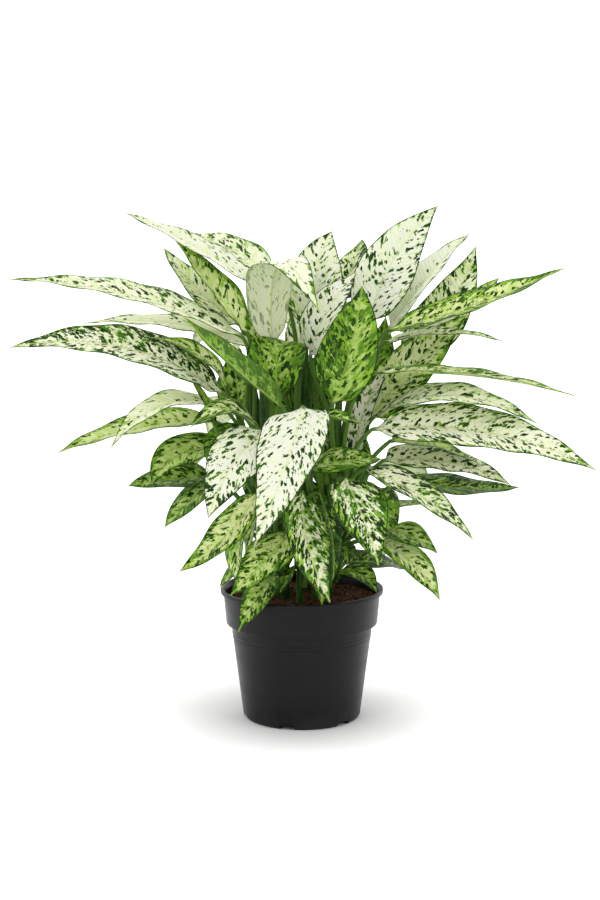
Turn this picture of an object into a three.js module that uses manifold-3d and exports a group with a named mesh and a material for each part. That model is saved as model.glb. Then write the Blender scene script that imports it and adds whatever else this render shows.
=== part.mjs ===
// Potted dieffenbachia: a nursery pot, its soil, five leafy canes with two basal sprouts between them,
// and the large leaves that the canes carry. Millimetres, +Z up, the origin under the middle of the pot.
import * as THREE from 'three';
import { mergeVertices } from 'three/addons/utils/BufferGeometryUtils.js';
import Module from 'manifold-3d';

const wasm = await Module();
wasm.setup();

// ---- driving dimensions -------------------------------------------------------------------------

const POT = {
  height: 137, rimRadius: 85, lipWidth: 2.6, lipDepth: 5, lipRound: 0.7, collarRound: 0.5,
  collarTopRadius: 81.8, collarFootRadius: 79, collarFootZ: 100.5,
  bodyTopRadius: 74, footRadius: 61.5, footRound: 2.5, wall: 2.2, floor: 3, segments: 48,
};
const DRAIN = { count: 6, width: 16, height: 4, firstAngle: -105 };
const SOIL = { wallZ: 127, crownZ: 129.5, clearance: 0.3, wallGap: 0.9, segments: 32 };

// A stem's foot stands in the soil at footZ, inside a plain hole. It leans from `foot` (x, y) at the soil
// to `top` (x, y) at height `topZ`, and ends in a rolled leaf (a spear) that tapers off above the top.
const CANE = { footRadius: 7.6, topRadius: 6.4, footZ: 100, spear: 70, sides: 12 };
const SPROUT = { footRadius: 4.2, topRadius: 3.8, footZ: 110, spear: 16, sides: 8 };
const SPEAR_TAPER = 0.88;
const STEM_HOLE_CLEARANCE = 0.3;
const STEMS = [
  { name: 'cane_1', size: CANE, foot: [-18, -14], top: [-36, -26], topZ: 300 },
  { name: 'cane_2', size: CANE, foot: [16, -16], top: [34, -28], topZ: 300 },
  { name: 'cane_3', size: CANE, foot: [24, 10], top: [50, 16], topZ: 320 },
  { name: 'cane_4', size: CANE, foot: [2, 24], top: [4, 50], topZ: 330 },
  { name: 'cane_5', size: CANE, foot: [-22, 12], top: [-48, 20], topZ: 320 },
  { name: 'sprout_1', size: SPROUT, foot: [-2, -36], top: [-1, -40], topZ: 160 },
  { name: 'sprout_2', size: SPROUT, foot: [24, -30], top: [27, -34], topZ: 165 },
];

// A leaf is one solid: a petiole that rises beside its stem, and a blade folded a little along its midrib.
const BLADE = { halfThickness: 0.4, baseTaper: 0.65, tipTaper: 1.1, neckLength: 0.12 };
const PETIOLE = { rootRadius: 2.9, neckRadius: 2.1, seat: 0.35, rise: 0.33, reach: 0.3 };
const BLADE_STATIONS = [0, 0.06, 0.18, 0.34, 0.5, 0.66, 0.82, 0.93, 1];
const PETIOLE_STATIONS = [0, 0.25, 0.5, 0.75];
// A petiole's section is a hexagon: how far out and how far up its corners lie, in radii.
const HEXAGON = { out: 0.87, up: 0.5 };

// Each leaf: name, stem (1 to 5 the canes, 6 and 7 the sprouts), height of its root, the bearing of the root
// round the stem in degrees, then the points its midrib passes through (collar where the blade starts,
// crown, tip), the blade's width, the way its upper face looks at the crown, the fold of each half in
// degrees, and its tone. Every place was read off the photograph and set in depth to clear its neighbours.
const LEAVES = [
  ['leaf_01', 5, 275, -26, [-41, 29, 447], [-104, 9, 487], [-181, 15, 525], 50, [5, -3, 8], 12, 'white'],
  ['leaf_02', 4, 284, 222, [-28, 61, 459], [-72, 71, 484], [-123, 110, 502], 54, [2, -4, 9], 12, 'cream'],
  ['leaf_03', 5, 293, 137, [-65, 42, 408], [-112, 45, 448], [-145, 53, 488], 52, [6, -5, 6], 12, 'cream'],
  ['leaf_04', 5, 283, -114, [-56, 3, 403], [-91, -4, 448], [-129, 6, 497], 48, [7, -5, 5], 28, 'lime'],
  ['leaf_05', 1, 280, 58, [-31, 21, 379], [-21, 2, 475], [17, -49, 429], 66, [-2, 1, 10], 6, 'cream'],
  ['leaf_06', 1, 215, -13, [-23, -23, 337], [-25, -20, 383], [-2, 48, 381], 62, [-1, -8, 6], 6, 'green'],
  ['leaf_07', 5, 316, -156, [-60, -16, 400], [-164, -22, 440], [-296, -20, 459], 54, [3, -3, 9], 14, 'cream'],
  ['leaf_08', 1, 294, 178, [-79, -15, 341], [-173, -35, 390], [-291, -57, 393], 60, [3, -5, 8], 14, 'cream'],
  ['leaf_09', 5, 268, -82, [-46, 11, 385], [-128, 43, 408], [-229, 34, 410], 40, [1, -3, 9], 10, 'cream'],
  ['leaf_10', 1, 211, -60, [-19, -47, 333], [-63, -63, 371], [-118, -47, 423], 42, [5, 6, 6], 22, 'green'],
  ['leaf_11', 1, 235, -175, [-76, 0, 321], [-132, -27, 334], [-192, -59, 292], 52, [0, -2, 10], 12, 'cream'],
  ['leaf_12', 5, 204, -167, [-91, 5, 312], [-180, 8, 301], [-251, -17, 281], 50, [-1, -3, 9], 16, 'lime'],
  ['leaf_13', 1, 236, -128, [-46, -46, 314], [-80, -63, 332], [-111, -65, 314], 44, [0, -3, 9], 10, 'lime'],
  ['leaf_14', 5, 223, -124, [-82, -16, 288], [-125, -23, 280], [-151, -55, 255], 52, [-1, -5, 9], 12, 'green'],
  ['leaf_15', 5, 169, -170, [-93, -12, 256], [-141, -16, 253], [-178, -25, 248], 50, [0, -4, 9], 12, 'green'],
  ['leaf_16', 1, 153, 180, [-89, -17, 251], [-112, -34, 235], [-139, -50, 210], 44, [-4, -4, 8], 10, 'green'],
  ['leaf_17', 1, 211, -101, [-38, -63, 311], [-66, -91, 283], [-92, -110, 230], 62, [-2, -8, 6], 8, 'white'],
  ['leaf_18', 2, 252, -116, [1, -66, 335], [-12, -116, 294], [-46, -139, 208], 72, [-3, -7, 6], 8, 'white'],
  ['leaf_19', 1, 149, -128, [-43, -63, 249], [-75, -73, 207], [-122, -87, 172], 48, [-5, -6, 7], 10, 'lime'],
  ['leaf_20', 1, 172, -78, [-10, -72, 211], [-37, -98, 184], [-70, -118, 155], 52, [-3, -6, 8], 8, 'green'],
  ['leaf_21', 1, 161, -55, [-25, -62, 168], [-42, -92, 151], [-63, -95, 113], 40, [-4, -6, 7], 8, 'green'],
  ['leaf_22', 2, 145, -154, [0, -63, 249], [6, -93, 200], [28, -102, 144], 52, [5, -7, 4], 8, 'cream'],
  ['leaf_23', 4, 292, -6, [17, 40, 403], [16, 47, 466], [32, 74, 505], 64, [-3, -9, 4], 8, 'white'],
  ['leaf_24', 3, 275, -164, [9, 16, 378], [24, 2, 423], [57, 27, 464], 52, [-6, -7, 4], 10, 'white'],
  ['leaf_25', 3, 305, 4, [68, 22, 410], [92, 46, 469], [142, 46, 532], 62, [-2, -9, 3], 8, 'white'],
  ['leaf_26', 2, 259, -76, [31, -45, 335], [50, -42, 394], [61, -15, 452], 64, [-3, -9, 3], 10, 'green'],
  ['leaf_27', 3, 304, 45, [91, 47, 402], [136, 47, 463], [178, 80, 502], 46, [-6, -5, 7], 20, 'white'],
  ['leaf_28', 3, 268, 16, [106, 41, 369], [158, 49, 431], [182, 50, 490], 58, [-4, -9, 3], 8, 'cream'],
  ['leaf_29', 2, 296, 27, [87, -10, 406], [180, -21, 435], [264, -30, 471], 48, [-4, -4, 9], 16, 'lime'],
  ['leaf_30', 2, 262, -1, [70, -45, 366], [139, -38, 366], [277, -50, 343], 38, [1, -1, 10], 14, 'lime'],
  ['leaf_31', 3, 227, -11, [69, 10, 312], [117, 17, 369], [171, 24, 420], 60, [-4, -8, 5], 8, 'lime'],
  ['leaf_32', 3, 197, -10, [53, -12, 268], [61, -14, 317], [91, 13, 369], 38, [-7, -6, 3], 10, 'cream'],
  ['leaf_33', 2, 211, 70, [73, -1, 315], [154, -48, 344], [236, -62, 317], 52, [-1, -3, 10], 10, 'cream'],
  ['leaf_34', 2, 211, -5, [71, -42, 309], [169, -53, 310], [289, -97, 276], 62, [0, -6, 8], 12, 'cream'],
  ['leaf_35', 3, 164, -102, [83, -28, 275], [145, -6, 271], [212, -42, 252], 50, [1, -4, 9], 10, 'cream'],
  ['leaf_36', 3, 145, -11, [107, -5, 253], [165, -15, 244], [224, -18, 246], 46, [0, -3, 10], 10, 'green'],
  ['leaf_37', 2, 194, -37, [63, -53, 271], [109, -70, 252], [170, -90, 205], 48, [3, -4, 9], 12, 'cream'],
  ['leaf_38', 2, 175, -81, [10, -55, 274], [43, -63, 280], [80, -51, 280], 48, [-1, -4, 9], 8, 'green'],
  ['leaf_39', 2, 231, -65, [43, -71, 264], [59, -97, 231], [75, -114, 184], 64, [4, -7, 6], 8, 'cream'],
  ['leaf_40', 3, 173, -42, [86, -36, 204], [112, -52, 200], [137, -60, 185], 42, [2, -4, 9], 10, 'green'],
  ['leaf_41', 3, 159, -66, [79, -50, 197], [111, -64, 176], [138, -83, 142], 44, [4, -5, 8], 10, 'lime'],
  ['leaf_42', 3, 179, 56, [68, 60, 206], [107, 89, 207], [145, 71, 214], 50, [-1, 0, 10], 10, 'green'],
  ['leaf_43', 3, 140, 35, [46, 33, 156], [82, 64, 150], [120, 89, 136], 48, [3, -1, 9], 10, 'green'],
  ['leaf_44', 4, 276, 41, [46, 84, 431], [56, 93, 471], [65, 113, 495], 56, [-7, -5, 5], 8, 'cream'],
  ['leaf_45', 3, 273, 61, [147, 77, 405], [180, 89, 428], [213, 108, 454], 44, [-5, -3, 8], 10, 'lime'],
  ['leaf_46', 4, 266, 183, [-5, 62, 375], [-3, 64, 406], [2, 73, 434], 44, [-8, -5, 2], 8, 'cream'],
  ['leaf_47', 5, 214, 81, [-42, 85, 305], [-78, 151, 312], [-104, 211, 254], 60, [0, 3, 10], 10, 'cream'],
  ['leaf_48', 4, 233, 89, [8, 96, 340], [16, 165, 350], [22, 223, 301], 62, [0, 3, 10], 10, 'white'],
  ['leaf_49', 3, 194, 78, [62, 73, 300], [104, 135, 300], [128, 189, 245], 58, [0, 4, 9], 10, 'cream'],
  ['leaf_50', 4, 169, 75, [-12, 70, 234], [-28, 119, 220], [-44, 161, 160], 54, [-1, 5, 9], 10, 'lime'],
  ['leaf_51', 3, 139, 82, [34, 70, 225], [58, 119, 207], [70, 146, 158], 50, [1, 6, 8], 10, 'green'],
  ['small_01', 1, 219, 145, [-57, -18, 305], [-79, -24, 298], [-97, -44, 278], 36, [-2, -5, 8], 12, 'green'],
  ['small_02', 2, 211, -107, [20, -61, 326], [39, -60, 323], [59, -57, 317], 24, [2, -3, 9], 12, 'lime'],
  ['small_03', 3, 287, -40, [85, 0, 393], [142, 0, 403], [207, 7, 394], 28, [0, -2, 10], 12, 'cream'],
  ['small_04', 5, 241, -170, [-78, -1, 347], [-100, -20, 380], [-153, -19, 400], 36, [7, -3, 7], 12, 'lime'],
  ['small_05', 5, 191, -141, [-88, -54, 316], [-99, -33, 340], [-117, -16, 360], 10, [5, -5, 7], 12, 'green'],
  ['small_06', 1, 139, -74, [-49, -34, 235], [-51, -57, 203], [-57, -61, 168], 28, [-9, -4, 3], 12, 'lime'],
  ['small_07', 5, 141, -111, [-64, -20, 201], [-66, -29, 176], [-65, -41, 150], 40, [-9, -5, 2], 12, 'cream'],
  ['small_08', 5, 156, -174, [-57, 16, 167], [-71, -2, 154], [-86, -4, 138], 26, [-6, -3, 8], 12, 'green'],
  ['small_09', 2, 145, -95, [16, -54, 247], [30, -50, 202], [31, -73, 161], 32, [8, -5, 3], 12, 'green'],
  ['small_10', 3, 188, -46, [90, -28, 295], [143, -3, 285], [185, -14, 268], 30, [3, -2, 9], 12, 'lime'],
  ['small_11', 6, 143, 138, [-6, -36, 168], [-14, -41, 155], [-22, -48, 142], 18, [-7, -4, 6], 12, 'green'],
  ['small_12', 6, 146, -26, [12, -45, 175], [18, -67, 156], [20, -72, 132], 26, [7, -6, 4], 12, 'lime'],
  ['small_13', 7, 143, 51, [35, -23, 183], [45, -39, 182], [46, -40, 168], 26, [5, -6, 6], 12, 'green'],
  ['small_14', 7, 161, 7, [37, -31, 159], [57, -44, 161], [76, -54, 144], 38, [1, -3, 9], 12, 'green'],
  ['small_15', 5, 223, 148, [-65, 49, 315], [-69, 59, 343], [-73, 71, 379], 44, [-1, -9, 3], 10, 'green'],
  ['small_16', 4, 150, 157, [-13, 62, 294], [-14, 78, 322], [-16, 84, 358], 42, [0, -9, 3], 10, 'green'],
  ['small_17', 4, 193, 37, [17, 90, 307], [20, 100, 273], [22, 81, 221], 40, [0, -10, 0], 10, 'green'],
  ['small_18', 3, 226, 44, [71, 66, 331], [83, 96, 368], [91, 109, 412], 42, [-3, -8, 5], 10, 'green'],
  ['small_19', 3, 215, 98, [52, 69, 293], [56, 82, 264], [65, 67, 218], 38, [3, -9, -1], 10, 'green'],
  ['small_20', 5, 172, 149, [-47, 67, 267], [-43, 70, 239], [-34, 56, 192], 44, [-1, -10, 0], 10, 'green'],
  ['small_21', 3, 150, 25, [81, 39, 235], [89, 57, 211], [95, 58, 170], 34, [4, -9, -2], 10, 'green'],
  ['small_22', 4, 142, 73, [9, 84, 193], [13, 61, 170], [17, 60, 134], 36, [0, -9, 4], 10, 'green'],
  ['small_23', 4, 202, -31, [4, 62, 305], [10, 72, 334], [22, 80, 378], 44, [0, -10, 3], 10, 'green'],
  ['small_24', 3, 255, 118, [30, 49, 323], [34, 59, 343], [46, 70, 384], 40, [0, -9, 4], 10, 'green'],
  ['small_25', 4, 159, 291, [-2, 68, 241], [7, 79, 216], [17, 29, 176], 40, [1, -10, 0], 10, 'green'],
  ['small_26', 5, 178, 43, [-28, 46, 221], [-21, 46, 194], [-13, 46, 150], 38, [1, -10, 0], 10, 'green'],
  ['small_27', 4, 255, 136, [-32, 75, 368], [-43, 79, 394], [-53, 92, 431], 34, [-2, -10, 2], 10, 'lime'],
  ['small_28', 4, 292, 121, [-8, 89, 400], [-30, 118, 418], [-62, 150, 405], 46, [3, 1, 10], 10, 'cream'],
  ['small_29', 4, 302, 58, [22, 85, 405], [42, 131, 419], [64, 150, 400], 46, [0, 3, 10], 10, 'lime'],
  ['small_30', 5, 165, 96, [-62, 64, 269], [-95, 90, 272], [-128, 120, 235], 46, [0, 3, 9], 10, 'lime'],
  ['small_31', 3, 198, 38, [70, 55, 250], [105, 79, 253], [140, 107, 215], 46, [0, 4, 9], 10, 'cream'],
  ['small_32', 4, 140, 129, [0, 100, 186], [5, 100, 188], [8, 130, 150], 44, [-3, 3, 9], 10, 'green'],
  ['small_33', 5, 144, 132, [-52, 43, 196], [-74, 70, 192], [-90, 85, 164], 42, [-1, 5, 8], 10, 'lime'],
  ['small_34', 3, 167, 92, [48, 51, 182], [72, 76, 178], [91, 106, 147], 40, [1, 4, 9], 10, 'cream'],
  ['small_35', 3, 289, 101, [75, 70, 385], [99, 76, 400], [131, 133, 379], 46, [-4, 1, 9], 10, 'lime'],
  ['small_36', 5, 270, 119, [-67, 91, 377], [-90, 88, 395], [-118, 110, 378], 46, [3, 3, 9], 10, 'cream'],
];

// The blades with a rounder base than the rest, and the base taper of each.
const ROUND_BASES = { leaf_18: 0.42, leaf_17: 0.5, leaf_39: 0.48 };

// ---- materials ----------------------------------------------------------------------------------

const plastic = new THREE.MeshStandardMaterial({ color: 0x2d2e30, roughness: 0.42, metalness: 0 });
const coir = new THREE.MeshStandardMaterial({ color: 0x462619, roughness: 0.95, metalness: 0 });
const stemGreen = new THREE.MeshStandardMaterial({ color: 0x4c6b24, roughness: 0.5, metalness: 0 });
const LEAF_MATERIALS = {
  white: new THREE.MeshStandardMaterial({ color: 0xe6ead2, roughness: 0.4, metalness: 0 }),
  cream: new THREE.MeshStandardMaterial({ color: 0xd2dab0, roughness: 0.4, metalness: 0 }),
  lime: new THREE.MeshStandardMaterial({ color: 0xa9c566, roughness: 0.4, metalness: 0 }),
  green: new THREE.MeshStandardMaterial({ color: 0x4f7d2a, roughness: 0.4, metalness: 0 }),
};

// ---- small helpers ------------------------------------------------------------------------------

const vec = (point) => new THREE.Vector3(...point);
const mix = (a, b, share) => a + (b - a) * share;

// The part of `v` that is square to the unit vector `along`, at unit length.
function squareTo(v, along) {
  return v.clone().addScaledVector(along, -v.dot(along)).normalize();
}

// A point made of a centre and two offsets.
function offsetPoint(centre, side, sideways, up, upward) {
  return centre.clone().addScaledVector(side, sideways).addScaledVector(up, upward);
}

// Turns an indexed or loose geometry into a solid for cutting and joining.
function solidOf(geometry) {
  const bare = geometry.clone();
  bare.deleteAttribute('normal');
  bare.deleteAttribute('uv');
  const merged = mergeVertices(bare, 1e-4);
  return new wasm.Manifold(new wasm.Mesh({
    numProp: 3,
    vertProperties: new Float32Array(merged.attributes.position.array),
    triVerts: new Uint32Array(merged.index.array),
  }));
}

// Turns a solid back into a geometry.
function geometryOf(solid) {
  const mesh = solid.getMesh();
  const geometry = new THREE.BufferGeometry();
  geometry.setAttribute('position', new THREE.BufferAttribute(new Float32Array(mesh.vertProperties), 3));
  geometry.setIndex(Array.from(mesh.triVerts));
  geometry.computeVertexNormals();
  return geometry;
}

// A closed skin over rings of points that all have the same count, with a flat fan over each end ring.
// The second half of each ring is split on its other diagonal, so that the two faces of a thin blade are
// split alike and never cross.
function loft(rings) {
  const count = rings[0].length;
  const positions = rings.flat().flatMap((p) => [p.x, p.y, p.z]);
  const index = [];
  for (let i = 0; i < rings.length - 1; i += 1) {
    for (let j = 0; j < count; j += 1) {
      const a = i * count + j;
      const b = i * count + ((j + 1) % count);
      const c = a + count;
      const d = b + count;
      if (j < count / 2) index.push(a, b, d, a, d, c);
      else index.push(a, b, c, b, d, c);
    }
  }
  const last = (rings.length - 1) * count;
  for (let j = 1; j < count - 1; j += 1) {
    index.push(0, j + 1, j);
    index.push(last, last + j, last + j + 1);
  }
  const geometry = new THREE.BufferGeometry();
  geometry.setAttribute('position', new THREE.Float32BufferAttribute(positions, 3));
  geometry.setIndex(index);
  geometry.computeVertexNormals();
  return geometry;
}

// A turned body from a [radius, z] profile that starts and ends on the axis.
function turned(profile, segments) {
  const points = profile.map(([radius, z]) => new THREE.Vector2(radius, z));
  return new THREE.LatheGeometry(points, segments).rotateX(Math.PI / 2);
}

// ---- pot and soil -------------------------------------------------------------------------------

// The outside runs up from the foot, steps out to the collar band and ends in a rolled lip; the inside
// follows it one wall thickness in.
function potSolid() {
  const p = POT;
  const lipFoot = p.height - p.lipDepth;
  const profile = [
    [0, 0], [p.footRadius - p.footRound, 0], [p.footRadius, p.footRound],
    [p.bodyTopRadius, p.collarFootZ - p.collarRound], [p.collarFootRadius, p.collarFootZ],
    [p.collarTopRadius, lipFoot], [p.rimRadius, lipFoot + p.lipRound], [p.rimRadius, p.height - p.lipRound],
    [p.rimRadius - p.lipRound, p.height], [p.rimRadius - p.lipWidth, p.height],
    [p.collarTopRadius - p.wall, lipFoot], [p.collarFootRadius - p.wall, p.collarFootZ + p.wall],
    [p.bodyTopRadius - p.wall, p.collarFootZ - p.wall], [p.footRadius - p.wall, p.floor], [0, p.floor],
  ];
  let solid = solidOf(turned(profile, p.segments));
  for (let i = 0; i < DRAIN.count; i += 1) {
    const notch = new THREE.BoxGeometry(4 * p.footRound, DRAIN.width, 2 * DRAIN.height);
    notch.translate(p.footRadius, 0, 0);
    notch.rotateZ(THREE.MathUtils.degToRad(DRAIN.firstAngle + (i * 360) / DRAIN.count));
    solid = solid.subtract(solidOf(notch));
  }
  return solid;
}

// The soil fills the pot to a few millimetres under the rim, a little higher in the middle.
function soilSolid() {
  const inset = POT.wall + SOIL.clearance;
  const profile = [
    [0, POT.floor + SOIL.clearance], [POT.footRadius - inset, POT.floor + SOIL.clearance],
    [POT.bodyTopRadius - inset, POT.collarFootZ - POT.wall],
    [POT.collarFootRadius - inset, POT.collarFootZ + POT.wall + 2 * SOIL.clearance],
    [POT.collarTopRadius - POT.wall - SOIL.wallGap, SOIL.wallZ],
    [POT.footRadius, mix(SOIL.wallZ, SOIL.crownZ, 0.5)], [0, SOIL.crownZ],
  ];
  let solid = solidOf(turned(profile, SOIL.segments));
  for (const stem of STEMS) solid = solid.subtract(stemHole(stem));
  return solid;
}

// ---- stems --------------------------------------------------------------------------------------

// Where a stem's axis is at height z.
function stemAxis(stem, z) {
  const share = (z - SOIL.wallZ) / (stem.topZ - SOIL.wallZ);
  return new THREE.Vector3(mix(stem.foot[0], stem.top[0], share), mix(stem.foot[1], stem.top[1], share), z);
}

function stemRadius(stem, z) {
  const share = Math.min(1, (z - SOIL.wallZ) / (stem.topZ - SOIL.wallZ));
  return mix(stem.size.footRadius, stem.size.topRadius, share);
}

function stemDirection(stem) {
  return stemAxis(stem, stem.topZ).sub(stemAxis(stem, SOIL.wallZ)).normalize();
}

// A level ring of points round a stem's axis.
function stemRing(stem, z, radius) {
  const centre = stemAxis(stem, z);
  const ring = [];
  for (let i = 0; i < stem.size.sides; i += 1) {
    const turn = (i * 2 * Math.PI) / stem.size.sides;
    ring.push(new THREE.Vector3(centre.x + radius * Math.cos(turn), centre.y + radius * Math.sin(turn), z));
  }
  return ring;
}

function stemSolid(stem) {
  const heights = [stem.size.footZ, SOIL.wallZ, mix(SOIL.wallZ, stem.topZ, 0.5), stem.topZ];
  const rings = heights.map((z) => stemRing(stem, z, stemRadius(stem, z)));
  for (const share of [0.5, 1]) {
    const radius = stem.size.topRadius * (1 - SPEAR_TAPER * share);
    rings.push(stemRing(stem, stem.topZ + share * stem.size.spear, radius));
  }
  return solidOf(loft(rings));
}

function stemHole(stem) {
  const { footZ } = stem.size;
  const bottom = stemRing(stem, footZ - STEM_HOLE_CLEARANCE, stemRadius(stem, footZ) + STEM_HOLE_CLEARANCE);
  const top = stemRing(stem, POT.height, stemRadius(stem, SOIL.wallZ) + STEM_HOLE_CLEARANCE);
  return solidOf(loft([bottom, top]));
}

// ---- leaves -------------------------------------------------------------------------------------

// The midrib is the one parabola through the collar, the crown and the tip. A frame of tangent, side and
// up is carried along it; the parabola is flat, so `up` keeps its angle to the parabola's own plane.
function midrib(leaf) {
  const toCrown = leaf.collar.distanceTo(leaf.crown);
  const share = toCrown / (toCrown + leaf.crown.distanceTo(leaf.tip));
  const rest = 1 - share;
  const bend = leaf.crown.clone()
    .addScaledVector(leaf.collar, -rest * rest)
    .addScaledVector(leaf.tip, -share * share)
    .multiplyScalar(1 / (2 * share * rest));
  const toBend = bend.clone().sub(leaf.collar);
  const fromBend = leaf.tip.clone().sub(bend);
  const tangentAt = (t) => toBend.clone().multiplyScalar(1 - t).addScaledVector(fromBend, t).normalize();
  const across = toBend.clone().cross(leaf.tip.clone().sub(leaf.collar)).normalize();
  const crownTangent = tangentAt(share);
  const crownUp = squareTo(leaf.looks, crownTangent);
  const inPlane = crownUp.dot(across.clone().cross(crownTangent));
  const outOfPlane = crownUp.dot(across);
  return (t) => {
    const point = leaf.collar.clone().multiplyScalar((1 - t) * (1 - t))
      .addScaledVector(bend, 2 * t * (1 - t))
      .addScaledVector(leaf.tip, t * t);
    const tangent = tangentAt(t);
    const up = across.clone().cross(tangent).multiplyScalar(inPlane).addScaledVector(across, outOfPlane);
    return { point, tangent, up, side: tangent.clone().cross(up) };
  };
}

// The blade's half width at share t of its length: a rounded base, the widest point a third of the way
// out, and a long pointed tip.
function halfWidth(leaf, t) {
  const { width, baseTaper } = leaf;
  const { tipTaper } = BLADE;
  const widest = baseTaper / (baseTaper + tipTaper);
  const outline = (t / widest) ** baseTaper * ((1 - t) / (1 - widest)) ** tipTaper;
  return Math.hypot(mix(PETIOLE.neckRadius, BLADE.halfThickness, t), (width / 2) * outline);
}

// The six points of a blade's section: left edge, midrib and right edge above, then the same below.
function bladeRing(leaf, frame, t) {
  const { point, side, up } = frame;
  const open = Math.min(1, t / BLADE.neckLength);
  const fold = THREE.MathUtils.degToRad(leaf.fold) * open;
  const reach = t === 0 ? HEXAGON.out * PETIOLE.neckRadius : halfWidth(leaf, t);
  const out = reach * Math.cos(fold);
  const lift = reach * Math.sin(fold);
  const edge = mix(HEXAGON.up * PETIOLE.neckRadius, BLADE.halfThickness, open);
  const middle = mix(PETIOLE.neckRadius, BLADE.halfThickness, open);
  return [
    offsetPoint(point, side, -out, up, lift + edge), offsetPoint(point, side, 0, up, middle),
    offsetPoint(point, side, out, up, lift + edge), offsetPoint(point, side, out, up, lift - edge),
    offsetPoint(point, side, 0, up, -middle), offsetPoint(point, side, -out, up, lift - edge),
  ];
}

function petioleRing(point, side, up, radius) {
  const out = HEXAGON.out * radius;
  const edge = HEXAGON.up * radius;
  return [
    offsetPoint(point, side, -out, up, edge), offsetPoint(point, side, 0, up, radius),
    offsetPoint(point, side, out, up, edge), offsetPoint(point, side, out, up, -edge),
    offsetPoint(point, side, 0, up, -radius), offsetPoint(point, side, -out, up, -edge),
  ];
}

// The petiole leaves its stem at `rootZ`, on the side that `bearing` names. It first rises along the stem
// and then bends out to the collar. A small leaf's root is sunk into the stem, a large one's rests on it.
function petioleCurve(leaf, collarTangent) {
  const stem = STEMS[leaf.stem - 1];
  const rise = stemDirection(stem);
  const bearing = THREE.MathUtils.degToRad(leaf.bearing);
  const outward = squareTo(new THREE.Vector3(Math.cos(bearing), Math.sin(bearing), 0), rise);
  const seat = leaf.small ? 0 : PETIOLE.rootRadius + PETIOLE.seat;
  const root = stemAxis(stem, leaf.rootZ).addScaledVector(outward, stemRadius(stem, leaf.rootZ) + seat);
  const span = leaf.collar.distanceTo(root);
  const arrive = leaf.collar.clone().sub(root).normalize().add(collarTangent).normalize();
  return new THREE.CubicBezierCurve3(
    root,
    root.clone().addScaledVector(rise, PETIOLE.rise * span),
    leaf.collar.clone().addScaledVector(arrive, -PETIOLE.reach * span),
    leaf.collar,
  );
}

function leafGeometry(leaf) {
  const frameAt = midrib(leaf);
  const petiole = petioleCurve(leaf, frameAt(0).tangent);
  const rings = BLADE_STATIONS.map((t) => bladeRing(leaf, frameAt(t), t));
  let { up } = frameAt(0);
  for (const s of [...PETIOLE_STATIONS].reverse()) {
    const tangent = petiole.getTangent(s);
    up = squareTo(up, tangent);
    const radius = mix(PETIOLE.rootRadius, PETIOLE.neckRadius, s);
    rings.unshift(petioleRing(petiole.getPoint(s), tangent.clone().cross(up), up, radius));
  }
  return loft(rings);
}

// ---- assembly -----------------------------------------------------------------------------------

function readLeaf(row) {
  const [name, stem, rootZ, bearing, collar, crown, tip, width, looks, fold, tone] = row;
  return {
    name, stem, rootZ, bearing, width, fold, tone,
    baseTaper: ROUND_BASES[name] ?? BLADE.baseTaper,
    collar: vec(collar), crown: vec(crown), tip: vec(tip), looks: vec(looks),
    small: name.startsWith('small'),
  };
}

const group = new THREE.Group();

function addNode(name, geometry, material) {
  const mesh = new THREE.Mesh(geometry, material);
  mesh.name = name;
  group.add(mesh);
}

const leaves = LEAVES.map(readLeaf);
addNode('pot', geometryOf(potSolid()), plastic);
addNode('soil', geometryOf(soilSolid()), coir);
STEMS.forEach((stem, i) => {
  let solid = stemSolid(stem);
  for (const leaf of leaves.filter((each) => each.small && each.stem === i + 1)) {
    solid = solid.add(solidOf(leafGeometry(leaf)));
  }
  addNode(stem.name, geometryOf(solid), stemGreen);
});
for (const leaf of leaves.filter((each) => !each.small)) {
  addNode(leaf.name, leafGeometry(leaf), LEAF_MATERIALS[leaf.tone]);
}

export default group;
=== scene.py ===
# %% [markdown]
# # A potted dieffenbachia
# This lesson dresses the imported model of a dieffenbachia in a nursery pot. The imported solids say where
# every stem and leaf is. The cells below give each one a finer skin of the same form, and then its colour.
# All sizes are millimetres until the moment a mesh is made, because that is how a grower would give them.

# %% Load the fixed frame
import math

import bpy
import numpy as np
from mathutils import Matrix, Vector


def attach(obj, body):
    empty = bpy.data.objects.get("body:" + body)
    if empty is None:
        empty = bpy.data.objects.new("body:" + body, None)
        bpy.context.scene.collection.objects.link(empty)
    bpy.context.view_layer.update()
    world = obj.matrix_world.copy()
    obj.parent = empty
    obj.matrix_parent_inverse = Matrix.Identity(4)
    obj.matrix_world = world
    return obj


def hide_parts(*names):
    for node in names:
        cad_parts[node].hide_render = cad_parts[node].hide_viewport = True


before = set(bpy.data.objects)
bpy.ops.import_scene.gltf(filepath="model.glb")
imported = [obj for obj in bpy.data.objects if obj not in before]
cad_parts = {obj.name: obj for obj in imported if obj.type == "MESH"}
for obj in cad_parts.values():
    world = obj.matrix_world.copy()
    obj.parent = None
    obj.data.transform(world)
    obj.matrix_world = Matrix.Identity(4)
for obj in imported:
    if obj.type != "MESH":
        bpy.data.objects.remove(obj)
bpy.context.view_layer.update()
MM = 0.001
print("nodes in the frame:", len(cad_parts))

# %% [markdown]
# ## What the grower knows
# The plant is drawn by a few numbers: five canes and two basal sprouts lean out of the pot, and each leaf
# leaves its stem at a height and a bearing and then passes through a collar, a crown and a tip. They are
# the same numbers that the solids are made from, so the fine skin lies where the solid lies.

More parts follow.
